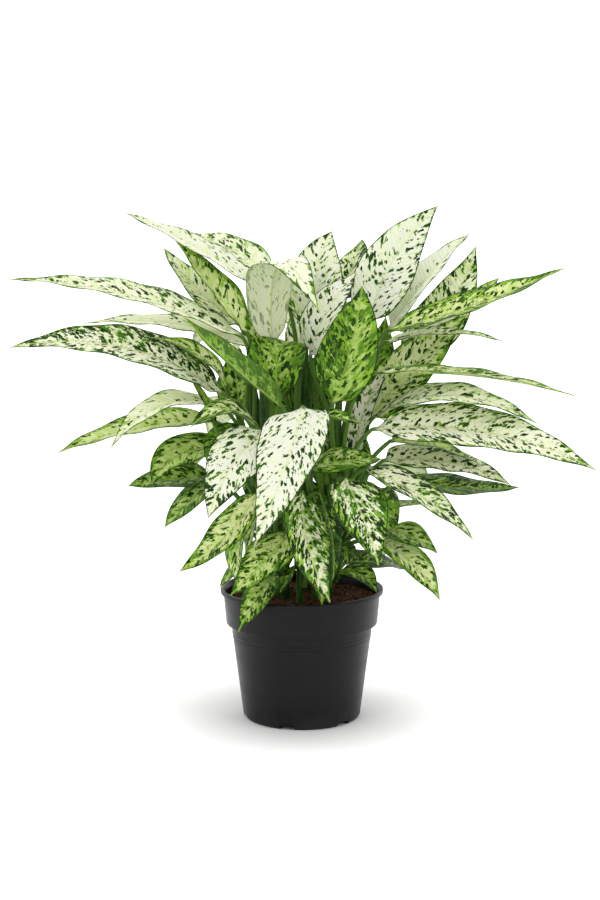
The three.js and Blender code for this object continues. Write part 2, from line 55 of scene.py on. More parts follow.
# %% The pot, the stems and the leaves in numbers
POT = {
    "height": 137, "rim_radius": 85, "lip_width": 2.6, "lip_depth": 5, "lip_round": 0.7,
    "collar_top_radius": 81.8, "collar_foot_radius": 79, "collar_foot_z": 100.5, "collar_round": 0.5,
    "body_top_radius": 74, "foot_radius": 61.5, "foot_round": 2.5, "wall": 2.2, "floor": 3,
}
DRAIN = {"count": 6, "width": 16, "height": 4, "first_angle": -105, "clear_z": 20}
SOIL = {"wall_z": 127, "crown_z": 129.5, "clearance": 0.3, "wall_gap": 0.9}

CANE = {"foot_radius": 7.6, "top_radius": 6.4, "foot_z": 100, "spear": 70}
SPROUT = {"foot_radius": 4.2, "top_radius": 3.8, "foot_z": 110, "spear": 16}
SPEAR_TAPER = 0.88
# name, kind, place of the foot at the soil, place of the top, height of the top
STEMS = [
    ("cane_1", CANE, (-18, -14), (-36, -26), 300),
    ("cane_2", CANE, (16, -16), (34, -28), 300),
    ("cane_3", CANE, (24, 10), (50, 16), 320),
    ("cane_4", CANE, (2, 24), (4, 50), 330),
    ("cane_5", CANE, (-22, 12), (-48, 20), 320),
    ("sprout_1", SPROUT, (-2, -36), (-1, -40), 160),
    ("sprout_2", SPROUT, (24, -30), (27, -34), 165),
]

BLADE = {"half_thickness": 0.4, "base_taper": 0.65, "tip_taper": 1.1, "neck_length": 0.12}
PETIOLE = {"root_radius": 2.9, "neck_radius": 2.1, "seat": 0.35, "rise": 0.33, "reach": 0.3}

# name, stem, height of the root, bearing, collar, crown, tip, width, the way it looks, fold, tone
LEAVES = [
    ("leaf_01", 5, 275, -26, (-41, 29, 447), (-104, 9, 487), (-181, 15, 525), 50, (5, -3, 8), 12, "white"),
    ("leaf_02", 4, 284, 222, (-28, 61, 459), (-72, 71, 484), (-123, 110, 502), 54, (2, -4, 9), 12, "cream"),
    ("leaf_03", 5, 293, 137, (-65, 42, 408), (-112, 45, 448), (-145, 53, 488), 52, (6, -5, 6), 12, "cream"),
    ("leaf_04", 5, 283, -114, (-56, 3, 403), (-91, -4, 448), (-129, 6, 497), 48, (7, -5, 5), 28, "lime"),
    ("leaf_05", 1, 280, 58, (-31, 21, 379), (-21, 2, 475), (17, -49, 429), 66, (-2, 1, 10), 6, "cream"),
    ("leaf_06", 1, 215, -13, (-23, -23, 337), (-25, -20, 383), (-2, 48, 381), 62, (-1, -8, 6), 6, "green"),
    ("leaf_07", 5, 316, -156, (-60, -16, 400), (-164, -22, 440), (-296, -20, 459), 54, (3, -3, 9), 14, "cream"),
    ("leaf_08", 1, 294, 178, (-79, -15, 341), (-173, -35, 390), (-291, -57, 393), 60, (3, -5, 8), 14, "cream"),
    ("leaf_09", 5, 268, -82, (-46, 11, 385), (-128, 43, 408), (-229, 34, 410), 40, (1, -3, 9), 10, "cream"),
    ("leaf_10", 1, 211, -60, (-19, -47, 333), (-63, -63, 371), (-118, -47, 423), 42, (5, 6, 6), 22, "green"),
    ("leaf_11", 1, 235, -175, (-76, 0, 321), (-132, -27, 334), (-192, -59, 292), 52, (0, -2, 10), 12, "cream"),
    ("leaf_12", 5, 204, -167, (-91, 5, 312), (-180, 8, 301), (-251, -17, 281), 50, (-1, -3, 9), 16, "lime"),
    ("leaf_13", 1, 236, -128, (-46, -46, 314), (-80, -63, 332), (-111, -65, 314), 44, (0, -3, 9), 10, "lime"),
    ("leaf_14", 5, 223, -124, (-82, -16, 288), (-125, -23, 280), (-151, -55, 255), 52, (-1, -5, 9), 12, "green"),
    ("leaf_15", 5, 169, -170, (-93, -12, 256), (-141, -16, 253), (-178, -25, 248), 50, (0, -4, 9), 12, "green"),
    ("leaf_16", 1, 153, 180, (-89, -17, 251), (-112, -34, 235), (-139, -50, 210), 44, (-4, -4, 8), 10, "green"),
    ("leaf_17", 1, 211, -101, (-38, -63, 311), (-66, -91, 283), (-92, -110, 230), 62, (-2, -8, 6), 8, "white"),
    ("leaf_18", 2, 252, -116, (1, -66, 335), (-12, -116, 294), (-46, -139, 208), 72, (-3, -7, 6), 8, "white"),
    ("leaf_19", 1, 149, -128, (-43, -63, 249), (-75, -73, 207), (-122, -87, 172), 48, (-5, -6, 7), 10, "lime"),
    ("leaf_20", 1, 172, -78, (-10, -72, 211), (-37, -98, 184), (-70, -118, 155), 52, (-3, -6, 8), 8, "green"),
    ("leaf_21", 1, 161, -55, (-25, -62, 168), (-42, -92, 151), (-63, -95, 113), 40, (-4, -6, 7), 8, "green"),
    ("leaf_22", 2, 145, -154, (0, -63, 249), (6, -93, 200), (28, -102, 144), 52, (5, -7, 4), 8, "cream"),
    ("leaf_23", 4, 292, -6, (17, 40, 403), (16, 47, 466), (32, 74, 505), 64, (-3, -9, 4), 8, "white"),
    ("leaf_24", 3, 275, -164, (9, 16, 378), (24, 2, 423), (57, 27, 464), 52, (-6, -7, 4), 10, "white"),
    ("leaf_25", 3, 305, 4, (68, 22, 410), (92, 46, 469), (142, 46, 532), 62, (-2, -9, 3), 8, "white"),
    ("leaf_26", 2, 259, -76, (31, -45, 335), (50, -42, 394), (61, -15, 452), 64, (-3, -9, 3), 10, "green"),
    ("leaf_27", 3, 304, 45, (91, 47, 402), (136, 47, 463), (178, 80, 502), 46, (-6, -5, 7), 20, "white"),
    ("leaf_28", 3, 268, 16, (106, 41, 369), (158, 49, 431), (182, 50, 490), 58, (-4, -9, 3), 8, "cream"),
    ("leaf_29", 2, 296, 27, (87, -10, 406), (180, -21, 435), (264, -30, 471), 48, (-4, -4, 9), 16, "lime"),
    ("leaf_30", 2, 262, -1, (70, -45, 366), (139, -38, 366), (277, -50, 343), 38, (1, -1, 10), 14, "lime"),
    ("leaf_31", 3, 227, -11, (69, 10, 312), (117, 17, 369), (171, 24, 420), 60, (-4, -8, 5), 8, "lime"),
    ("leaf_32", 3, 197, -10, (53, -12, 268), (61, -14, 317), (91, 13, 369), 38, (-7, -6, 3), 10, "cream"),
    ("leaf_33", 2, 211, 70, (73, -1, 315), (154, -48, 344), (236, -62, 317), 52, (-1, -3, 10), 10, "cream"),
    ("leaf_34", 2, 211, -5, (71, -42, 309), (169, -53, 310), (289, -97, 276), 62, (0, -6, 8), 12, "cream"),
    ("leaf_35", 3, 164, -102, (83, -28, 275), (145, -6, 271), (212, -42, 252), 50, (1, -4, 9), 10, "cream"),
    ("leaf_36", 3, 145, -11, (107, -5, 253), (165, -15, 244), (224, -18, 246), 46, (0, -3, 10), 10, "green"),
    ("leaf_37", 2, 194, -37, (63, -53, 271), (109, -70, 252), (170, -90, 205), 48, (3, -4, 9), 12, "cream"),
    ("leaf_38", 2, 175, -81, (10, -55, 274), (43, -63, 280), (80, -51, 280), 48, (-1, -4, 9), 8, "green"),
    ("leaf_39", 2, 231, -65, (43, -71, 264), (59, -97, 231), (75, -114, 184), 64, (4, -7, 6), 8, "cream"),
    ("leaf_40", 3, 173, -42, (86, -36, 204), (112, -52, 200), (137, -60, 185), 42, (2, -4, 9), 10, "green"),
    ("leaf_41", 3, 159, -66, (79, -50, 197), (111, -64, 176), (138, -83, 142), 44, (4, -5, 8), 10, "lime"),
    ("leaf_42", 3, 179, 56, (68, 60, 206), (107, 89, 207), (145, 71, 214), 50, (-1, 0, 10), 10, "green"),
    ("leaf_43", 3, 140, 35, (46, 33, 156), (82, 64, 150), (120, 89, 136), 48, (3, -1, 9), 10, "green"),
    ("leaf_44", 4, 276, 41, (46, 84, 431), (56, 93, 471), (65, 113, 495), 56, (-7, -5, 5), 8, "cream"),
    ("leaf_45", 3, 273, 61, (147, 77, 405), (180, 89, 428), (213, 108, 454), 44, (-5, -3, 8), 10, "lime"),
    ("leaf_46", 4, 266, 183, (-5, 62, 375), (-3, 64, 406), (2, 73, 434), 44, (-8, -5, 2), 8, "cream"),
    ("leaf_47", 5, 214, 81, (-42, 85, 305), (-78, 151, 312), (-104, 211, 254), 60, (0, 3, 10), 10, "cream"),
    ("leaf_48", 4, 233, 89, (8, 96, 340), (16, 165, 350), (22, 223, 301), 62, (0, 3, 10), 10, "white"),
    ("leaf_49", 3, 194, 78, (62, 73, 300), (104, 135, 300), (128, 189, 245), 58, (0, 4, 9), 10, "cream"),
    ("leaf_50", 4, 169, 75, (-12, 70, 234), (-28, 119, 220), (-44, 161, 160), 54, (-1, 5, 9), 10, "lime"),
    ("leaf_51", 3, 139, 82, (34, 70, 225), (58, 119, 207), (70, 146, 158), 50, (1, 6, 8), 10, "green"),
    ("small_01", 1, 219, 145, (-57, -18, 305), (-79, -24, 298), (-97, -44, 278), 36, (-2, -5, 8), 12, "green"),
    ("small_02", 2, 211, -107, (20, -61, 326), (39, -60, 323), (59, -57, 317), 24, (2, -3, 9), 12, "lime"),
    ("small_03", 3, 287, -40, (85, 0, 393), (142, 0, 403), (207, 7, 394), 28, (0, -2, 10), 12, "cream"),
    ("small_04", 5, 241, -170, (-78, -1, 347), (-100, -20, 380), (-153, -19, 400), 36, (7, -3, 7), 12, "lime"),
    ("small_05", 5, 191, -141, (-88, -54, 316), (-99, -33, 340), (-117, -16, 360), 10, (5, -5, 7), 12, "green"),
    ("small_06", 1, 139, -74, (-49, -34, 235), (-51, -57, 203), (-57, -61, 168), 28, (-9, -4, 3), 12, "lime"),
    ("small_07", 5, 141, -111, (-64, -20, 201), (-66, -29, 176), (-65, -41, 150), 40, (-9, -5, 2), 12, "cream"),
    ("small_08", 5, 156, -174, (-57, 16, 167), (-71, -2, 154), (-86, -4, 138), 26, (-6, -3, 8), 12, "green"),
    ("small_09", 2, 145, -95, (16, -54, 247), (30, -50, 202), (31, -73, 161), 32, (8, -5, 3), 12, "green"),
    ("small_10", 3, 188, -46, (90, -28, 295), (143, -3, 285), (185, -14, 268), 30, (3, -2, 9), 12, "lime"),
    ("small_11", 6, 143, 138, (-6, -36, 168), (-14, -41, 155), (-22, -48, 142), 18, (-7, -4, 6), 12, "green"),
    ("small_12", 6, 146, -26, (12, -45, 175), (18, -67, 156), (20, -72, 132), 26, (7, -6, 4), 12, "lime"),
    ("small_13", 7, 143, 51, (35, -23, 183), (45, -39, 182), (46, -40, 168), 26, (5, -6, 6), 12, "green"),
    ("small_14", 7, 161, 7, (37, -31, 159), (57, -44, 161), (76, -54, 144), 38, (1, -3, 9), 12, "green"),
    ("small_15", 5, 223, 148, (-65, 49, 315), (-69, 59, 343), (-73, 71, 379), 44, (-1, -9, 3), 10, "green"),
    ("small_16", 4, 150, 157, (-13, 62, 294), (-14, 78, 322), (-16, 84, 358), 42, (0, -9, 3), 10, "green"),
    ("small_17", 4, 193, 37, (17, 90, 307), (20, 100, 273), (22, 81, 221), 40, (0, -10, 0), 10, "green"),
    ("small_18", 3, 226, 44, (71, 66, 331), (83, 96, 368), (91, 109, 412), 42, (-3, -8, 5), 10, "green"),
    ("small_19", 3, 215, 98, (52, 69, 293), (56, 82, 264), (65, 67, 218), 38, (3, -9, -1), 10, "green"),
    ("small_20", 5, 172, 149, (-47, 67, 267), (-43, 70, 239), (-34, 56, 192), 44, (-1, -10, 0), 10, "green"),
    ("small_21", 3, 150, 25, (81, 39, 235), (89, 57, 211), (95, 58, 170), 34, (4, -9, -2), 10, "green"),
    ("small_22", 4, 142, 73, (9, 84, 193), (13, 61, 170), (17, 60, 134), 36, (0, -9, 4), 10, "green"),
    ("small_23", 4, 202, -31, (4, 62, 305), (10, 72, 334), (22, 80, 378), 44, (0, -10, 3), 10, "green"),
    ("small_24", 3, 255, 118, (30, 49, 323), (34, 59, 343), (46, 70, 384), 40, (0, -9, 4), 10, "green"),
    ("small_25", 4, 159, 291, (-2, 68, 241), (7, 79, 216), (17, 29, 176), 40, (1, -10, 0), 10, "green"),
    ("small_26", 5, 178, 43, (-28, 46, 221), (-21, 46, 194), (-13, 46, 150), 38, (1, -10, 0), 10, "green"),
    ("small_27", 4, 255, 136, (-32, 75, 368), (-43, 79, 394), (-53, 92, 431), 34, (-2, -10, 2), 10, "lime"),
    ("small_28", 4, 292, 121, (-8, 89, 400), (-30, 118, 418), (-62, 150, 405), 46, (3, 1, 10), 10, "cream"),
    ("small_29", 4, 302, 58, (22, 85, 405), (42, 131, 419), (64, 150, 400), 46, (0, 3, 10), 10, "lime"),
    ("small_30", 5, 165, 96, (-62, 64, 269), (-95, 90, 272), (-128, 120, 235), 46, (0, 3, 9), 10, "lime"),
    ("small_31", 3, 198, 38, (70, 55, 250), (105, 79, 253), (140, 107, 215), 46, (0, 4, 9), 10, "cream"),
    ("small_32", 4, 140, 129, (0, 100, 186), (5, 100, 188), (8, 130, 150), 44, (-3, 3, 9), 10, "green"),
    ("small_33", 5, 144, 132, (-52, 43, 196), (-74, 70, 192), (-90, 85, 164), 42, (-1, 5, 8), 10, "lime"),
    ("small_34", 3, 167, 92, (48, 51, 182), (72, 76, 178), (91, 106, 147), 40, (1, 4, 9), 10, "cream"),
    ("small_35", 3, 289, 101, (75, 70, 385), (99, 76, 400), (131, 133, 379), 46, (-4, 1, 9), 10, "lime"),
    ("small_36", 5, 270, 119, (-67, 91, 377), (-90, 88, 395), (-118, 110, 378), 46, (3, 3, 9), 10, "cream"),
]
# the blades with a rounder base than the rest, and the taper of each base
ROUND_BASES = {"leaf_18": 0.42, "leaf_17": 0.5, "leaf_39": 0.48}
print("leaves:", len(LEAVES), " stems:", len(STEMS))

# %% [markdown]
# ## One skin for every long thing
# A leaf, a petiole, a cane and a pot are all a closed loop of points carried along a line. So one helper
# takes a grid of points, ring after ring, and closes it with a face at each end. Several skins can be put
# in one mesh. The points go into Blender as whole arrays, which is much faster than adding them singly.

# %% Skins and pieces
def skin(rings, **layers):
    """Faces over a grid of rings: each cell of the grid is one four-sided face, each end ring one cap."""
    count, around = rings.shape[:2]
    here = np.arange(around)
    start = np.arange(count - 1)[:, None] * around
    corner, beside = start + here, start + np.roll(here, -1)
    quads = np.stack([corner, beside, beside + around, corner + around], -1).reshape(-1)
    loops = np.concatenate([quads, here[::-1], here + (count - 1) * around])
    sizes = np.concatenate([np.full((count - 1) * around, 4), [around, around]])
    flat = {key: value.reshape(count * around, -1) for key, value in layers.items()}
    return {"points": rings.reshape(-1, 3), "loops": loops, "sizes": sizes, "layers": flat}


def together(skins):
    """Several skins as one: the points follow each other, so each skin's corners are counted on."""
    offsets = np.cumsum([0] + [len(each["points"]) for each in skins[:-1]])
    return {
        "points": np.concatenate([each["points"] for each in skins]),
        "loops": np.concatenate([each["loops"] + first for each, first in zip(skins, offsets)]),
        "sizes": np.concatenate([each["sizes"] for each in skins]),
        "layers": {
            key: np.concatenate([each["layers"][key] for each in skins]) for key in skins[0]["layers"]},
    }


def put_in_scene(name, data):
    """An object at the origin that holds a mesh, a lamp or a camera."""
    made = bpy.data.objects.new(name, data)
    bpy.context.scene.collection.objects.link(made)
    return made


def piece(name, form, finish, stands_for=()):
    """Puts a skin, in millimetres, into a mesh object in metres that rides with the plant."""
    mesh = bpy.data.meshes.new(name)
    mesh.vertices.add(len(form["points"]))
    mesh.vertices.foreach_set("co", (form["points"] * MM).astype(np.float32).ravel())
    mesh.loops.add(len(form["loops"]))
    mesh.loops.foreach_set("vertex_index", form["loops"].astype(np.int32))
    mesh.polygons.add(len(form["sizes"]))
    starts = np.concatenate([[0], np.cumsum(form["sizes"])[:-1]])
    mesh.polygons.foreach_set("loop_start", starts.astype(np.int32))
    mesh.update(calc_edges=True)
    mesh.validate()
    mesh.polygons.foreach_set("use_smooth", np.ones(len(mesh.polygons), bool))
    for layer, values in form["layers"].items():
        kind, key = ("FLOAT_VECTOR", "vector") if values.shape[1] == 3 else ("FLOAT", "value")
        mesh.attributes.new(layer, kind, "POINT").data.foreach_set(key, values.astype(np.float32).ravel())
    mesh.materials.append(finish)
    made = put_in_scene(name, mesh)
    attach(made, "root")
    if stands_for:
        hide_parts(*stands_for)


def mix(a, b, share):
    """The value that lies the given share of the way from a to b."""
    return a + (b - a) * share


def smooth(share):
    """A share that starts and ends gently: 3x squared less 2x cubed."""
    held = np.clip(share, 0, 1)
    return held * held * (3 - 2 * held)


def unit(v):
    """Vectors at length one."""
    return v / np.linalg.norm(v, axis=-1, keepdims=True)


def square_to(v, along):
    """The part of v that is square to the unit vector along, at length one."""
    return unit(v - (v * along).sum(-1, keepdims=True) * along)


print("a gentle step at a quarter, a half and three quarters:", smooth(np.array([0.25, 0.5, 0.75])))

# %% [markdown]
# ## Words for shader nodes
# A finish is drawn by small boxes that pass values on: coordinates go in, noise and arithmetic turn them
# into a mask, and the mask mixes two colours. Placing each box by hand takes many lines, so each kind that
# is used often gets one short function here, and the finishes below then read like sentences.

# %% Small helpers for shader nodes
def node(tree, kind, values=None, **settings):
    """One shader node with its settings and its unlinked inputs set."""
    made = tree.nodes.new(kind)
    for key, value in settings.items():
        setattr(made, key, value)
    for key, value in (values or {}).items():
        made.inputs[key].default_value = value
    return made


def wire(tree, source, target):
    """A link, or a plain value, into a socket."""
    if isinstance(source, bpy.types.NodeSocket):
        tree.links.new(source, target)
    else:
        target.default_value = source


def maths(tree, operation, *values):
    """One step of arithmetic between sockets and numbers."""
    made = node(tree, "ShaderNodeMath", operation=operation)
    for value, socket in zip(values, made.inputs):
        wire(tree, value, socket)
    return made.outputs[0]


def blend(tree, share, first, second):
    """A colour between two colours."""
    made = node(tree, "ShaderNodeMix", data_type="RGBA")
    wire(tree, share, made.inputs[0])
    wire(tree, first, made.inputs[6])
    wire(tree, second, made.inputs[7])
    return made.outputs[2]


def ramp(tree, value, low, high, to_low=0.0, to_high=1.0):
    """A smooth step: to_low under low, to_high over high."""
    made = node(tree, "ShaderNodeMapRange", interpolation_type="SMOOTHSTEP")
    for source, socket in zip((value, low, high, to_low, to_high), made.inputs):
        wire(tree, source, socket)
    return made.outputs[0]


def soft_step(tree, value, level, below, above):
    """A smooth step round a level: nought where the value is that far below it, one that far above."""
    return ramp(tree, value, maths(tree, "ADD", level, -below), maths(tree, "ADD", level, above))


def swing(tree, cloud, amount, value):
    """A value that goes up and down with a cloud: the amount times what the cloud has over one half."""
    return maths(tree, "MULTIPLY_ADD", maths(tree, "SUBTRACT", cloud, 0.5), amount, value)


def parts(tree, vector):
    """The three parts of a vector."""
    made = node(tree, "ShaderNodeSeparateXYZ")
    wire(tree, vector, made.inputs[0])
    return made.outputs


def object_place(tree):
    """The place of a point in the piece's own coordinates, in metres."""
    return node(tree, "ShaderNodeTexCoord").outputs["Object"]


def stretched(tree, place, scale):
    """Coordinates times a factor on each axis: a pattern on them is drawn out where the factor is small."""
    made = node(tree, "ShaderNodeMapping", {"Scale": scale})
    wire(tree, place, made.inputs["Vector"])
    return made.outputs[0]


def noise(tree, place, scale, detail=2.0, roughness=0.5, distortion=0.0):
    """A cloudy value round one half."""
    made = node(tree, "ShaderNodeTexNoise", {
        "Scale": scale, "Detail": detail, "Roughness": roughness, "Distortion": distortion})
    wire(tree, place, made.inputs["Vector"])
    return made.outputs[0]


def spots(tree, place, scale):
    """A height that falls from the middle of each cell of a random net, some cells higher than others."""
    made = node(tree, "ShaderNodeTexVoronoi", {"Scale": scale})
    wire(tree, place, made.inputs["Vector"])
    return maths(tree, "SUBTRACT", parts(tree, made.outputs["Color"])[0], made.outputs["Distance"])


def group(name, inputs, outputs):
    """An empty shader node group with named sockets."""
    tree = bpy.data.node_groups.new(name, "ShaderNodeTree")
    kinds = {"colour": "NodeSocketColor", "value": "NodeSocketFloat", "vector": "NodeSocketVector"}
    for label, kind in inputs.items():
        tree.interface.new_socket(label, in_out="INPUT", socket_type=kinds[kind])
    for label, kind in outputs.items():
        tree.interface.new_socket(label, in_out="OUTPUT", socket_type=kinds[kind])
    return tree, tree.nodes.new("NodeGroupInput"), tree.nodes.new("NodeGroupOutput")


def material(name, **surface):
    """A new material with one Principled surface. Its fixed values are set on its own sockets, whose names
    are the given words in title case."""
    made = bpy.data.materials.new(name)
    made.use_nodes = True
    shader = made.node_tree.nodes["Principled BSDF"]
    for key, value in surface.items():
        shader.inputs[key.replace("_", " ").title().replace("Ior", "IOR")].default_value = value
    return made, made.node_tree, shader


def dress(tree, shader, colour, roughness, height, strength, depth):
    """A varying colour and roughness on a surface, and a bump of a depth in metres from a height."""
    bump = node(tree, "ShaderNodeBump", {"Strength": strength, "Distance": depth})
    wire(tree, height, bump.inputs["Height"])
    wire(tree, colour, shader.inputs["Base Color"])
    wire(tree, roughness, shader.inputs["Roughness"])
    wire(tree, bump.outputs[0], shader.inputs["Normal"])


# %% [markdown]
# ## Coordinates that grow with the leaf
# The pattern of a real leaf grew with it, so it runs along the side veins and not straight through the
# room. A picture laid over the leaf could follow it too, but would need unfolding. Here each blade carries
# its own measures instead: how far a point is from the midrib, how far along it, and how far from the rim.
# One shader group turns them into coordinates in which every side vein is a straight line.

# %% The leaf's coordinates
VEIN_LINE = {"slope": 0.55, "bend": 0.012}
# millimetres that one unit of the pattern takes along the midrib and across the leaf
PATTERN_SIZE = {"Fleck place": (4.8, 4.0), "Cloud place": (10.0, 14.0)}
LEAF_STEP = 7.3


def leaf_places():
    """Reads the blade's measures. A side vein leaves the midrib at about 60 degrees and bends forward: its
    number is the distance along the midrib, less about half the distance out, less a little of its square.
    The third coordinate is another one for each leaf, so no two leaves share a pattern."""
    tree, _, out = group("leaf places", {}, {
        "Out": "value", "Vein": "value", "Rim": "value", "Fleck place": "vector", "Cloud place": "vector",
        "Tint": "value", "Flecks": "value", "Wash": "value", "Under": "value", "Stalk": "value"})
    place, paint, kind = (
        parts(tree, node(tree, "ShaderNodeAttribute", attribute_name=layer).outputs["Vector"])
        for layer in ("place", "paint", "kind"))
    away = maths(tree, "ABSOLUTE", place[0])
    slope = maths(tree, "MULTIPLY_ADD", away, VEIN_LINE["bend"], VEIN_LINE["slope"])
    vein = maths(tree, "SUBTRACT", place[1], maths(tree, "MULTIPLY", away, slope))
    for label, (along, across) in PATTERN_SIZE.items():
        spot = node(tree, "ShaderNodeCombineXYZ")
        wire(tree, maths(tree, "MULTIPLY", vein, 1 / along), spot.inputs[0])
        wire(tree, maths(tree, "MULTIPLY", place[0], 1 / across), spot.inputs[1])
        wire(tree, maths(tree, "MULTIPLY", kind[2], LEAF_STEP), spot.inputs[2])
        wire(tree, spot.outputs[0], out.inputs[label])
    values = {
        "Out": away, "Vein": vein, "Rim": place[2], "Tint": paint[0], "Flecks": paint[1],
        "Wash": paint[2], "Under": kind[0], "Stalk": kind[1]}
    for label, source in values.items():
        wire(tree, source, out.inputs[label])
    return tree


PLACES = leaf_places()
print("leaf places:", len(PLACES.nodes), "nodes")

# %% [markdown]
# ## The variegation
# Leaves of this plant are pale where they lack leaf green, and carry ragged dark flecks. Each layer of
# colour is a cloudy height that is cut off at a level, so that one number says how much of the leaf it
# covers. Clouds alone give flecks that run together in streaks. A net of random spots added to them
# gathers the flecks into the separate blots that the real leaves have.

# %% Ground, wash and flecks
# coordinates, scale, detail, roughness and distortion of each cloud
LEAF_CLOUDS = {
    "broad": ("Cloud place", 0.8, 3.0, 0.55, 0.6),
    "patch": ("Cloud place", 1.5, 2.0, 0.5, 0.4),
    "fine": ("Fleck place", 0.9, 3.0, 0.55, 0.3),
    "dots": ("Fleck place", 1.9, 1.0, 0.5, 0.2),
    "streak": ("Fleck place", 0.45, 3.0, 0.65, 0.8),
}
# how far a cloud swings a height, and how much the other fields add to it
SWING = {"tint": 1.6, "wash": 0.7, "flecks": 0.5}
ADDED = {"spots": 0.30, "wash": 0.03, "dots": 0.8, "patch": 0.2}
# where each layer starts below its level and is full above it
EDGES = {"wash": (0.09, 0.06), "halo": (0.05, 0.0), "flecks": (0.008, 0.012), "specks": (-0.05, 0.07)}
HALO_STRENGTH = 0.5


def washed_ground(tree, given, at, cloud):
    """The ground turns from pale to lime with the tint, which swings with the broad cloud. The wash lies
    where a streaked height passes its level, and is bright or deep green by the broad cloud."""
    tint = swing(tree, cloud["broad"], SWING["tint"], at["Tint"])
    ground = blend(tree, ramp(tree, tint, 0.0, 1.0), given["Pale"], given["Lime"])
    height = swing(tree, cloud["patch"], SWING["wash"], cloud["streak"])
    wash = soft_step(tree, height, at["Wash"], *EDGES["wash"])
    greens = blend(tree, ramp(tree, cloud["broad"], 0.38, 0.62), given["Bright"], given["Green"])
    return blend(tree, wash, ground, greens), wash


def flecks_over(tree, given, at, cloud, colour, wash):
    """Flecks lie where a fine height passes their level: it swings with the patches, rises in the middle
    of each spot of the net and a little under the wash. A bright halo reaches further out, and specks of
    a finer cloud lie between the flecks."""
    height = swing(tree, cloud["patch"], SWING["flecks"], cloud["fine"])
    height = maths(tree, "MULTIPLY_ADD", spots(tree, at["Fleck place"], 1.0), ADDED["spots"], height)
    height = maths(tree, "MULTIPLY_ADD", wash, ADDED["wash"], height)
    halo = maths(tree, "MULTIPLY", soft_step(tree, height, at["Flecks"], *EDGES["halo"]), HALO_STRENGTH)
    flecks = soft_step(tree, height, at["Flecks"], *EDGES["flecks"])
    patches = maths(tree, "MULTIPLY", cloud["patch"], ADDED["patch"])
    dotted = maths(tree, "MULTIPLY_ADD", cloud["dots"], ADDED["dots"], patches)
    specks = soft_step(tree, dotted, at["Flecks"], *EDGES["specks"])
    inked = blend(tree, ramp(tree, cloud["broad"], 0.45, 0.8), given["Dark"], given["Green"])
    haloed = blend(tree, halo, colour, given["Bright"])
    return blend(tree, maths(tree, "MAXIMUM", flecks, specks), haloed, inked)


print("clouds in a leaf's pattern:", sorted(LEAF_CLOUDS))


# %% Rim, midrib, underside and the whole group
DARK_RIM = {"least": 0.05, "growth": 2.4, "core": 0.7}
MIDRIB = {"core": 0.5, "edge": 1.6, "strength": 0.6, "below": 0.3}
UNDERSIDE_STRENGTH = 0.45
VEIN_BUMP = {"gap": 5.5, "veins": 0.5, "streaks": 0.8}
ROUGHNESS = {"least": 0.33, "growth": 0.18, "below": 0.15}


def borders_over(tree, given, at, cloud, colour):
    """A thin dark rim, as wide as the patches are high, then the paler underside, the lime midrib that
    fades out beside the middle, and the petiole's own green."""
    width = maths(tree, "MULTIPLY_ADD", cloud["patch"], DARK_RIM["growth"], DARK_RIM["least"])
    rim = ramp(tree, at["Rim"], maths(tree, "MULTIPLY", width, DARK_RIM["core"]), width, 1.0, 0.0)
    rimmed = blend(tree, rim, colour, given["Dark"])
    under = maths(tree, "MULTIPLY", at["Under"], UNDERSIDE_STRENGTH)
    faded = blend(tree, under, rimmed, given["Underside"])
    strength = maths(tree, "MULTIPLY_ADD", at["Under"], MIDRIB["below"], MIDRIB["strength"])
    rib = ramp(tree, at["Out"], MIDRIB["core"], MIDRIB["edge"], strength, 0.0)
    ribbed = blend(tree, rib, faded, given["Lime"])
    return blend(tree, at["Stalk"], ribbed, given["Stalk green"])


def variegation():
    """Lays the colours of a leaf over each other from the palest to the darkest. The height for the bump
    is a wave over the side veins' number with streaks on it, and the patches vary the roughness."""
    colours = ("Pale", "Lime", "Bright", "Green", "Dark", "Underside", "Stalk green")
    tree, given, out = group(
        "variegation", {label: "colour" for label in colours},
        {"Colour": "colour", "Roughness": "value", "Height": "value"})
    given, at = given.outputs, node(tree, "ShaderNodeGroup", node_tree=PLACES).outputs
    cloud = {name: noise(tree, at[place], *form) for name, (place, *form) in LEAF_CLOUDS.items()}
    washed, wash = washed_ground(tree, given, at, cloud)
    flecked = flecks_over(tree, given, at, cloud, washed, wash)
    wire(tree, borders_over(tree, given, at, cloud, flecked), out.inputs["Colour"])

    wave = maths(tree, "SINE", maths(tree, "MULTIPLY", at["Vein"], 2 * math.pi / VEIN_BUMP["gap"]))
    streaks = maths(tree, "MULTIPLY", cloud["streak"], VEIN_BUMP["streaks"])
    wire(tree, maths(tree, "MULTIPLY_ADD", wave, VEIN_BUMP["veins"], streaks), out.inputs["Height"])
    above = maths(tree, "MULTIPLY_ADD", cloud["patch"], ROUGHNESS["growth"], ROUGHNESS["least"])
    rough = maths(tree, "MULTIPLY_ADD", at["Under"], ROUGHNESS["below"], above)
    wire(tree, rough, out.inputs["Roughness"])
    return tree


VARIEGATION = variegation()
print("variegation:", len(VARIEGATION.nodes), "nodes")

# %% [markdown]
# ## Four leaf finishes
# The plant has nearly white leaves, cream ones, lime ones and green ones. They are one kind of leaf with
# more or less green, so the four materials place the same group, each with its own colours. A leaf lets
# some light through, which the surface's subsurface share gives it without a second shader.

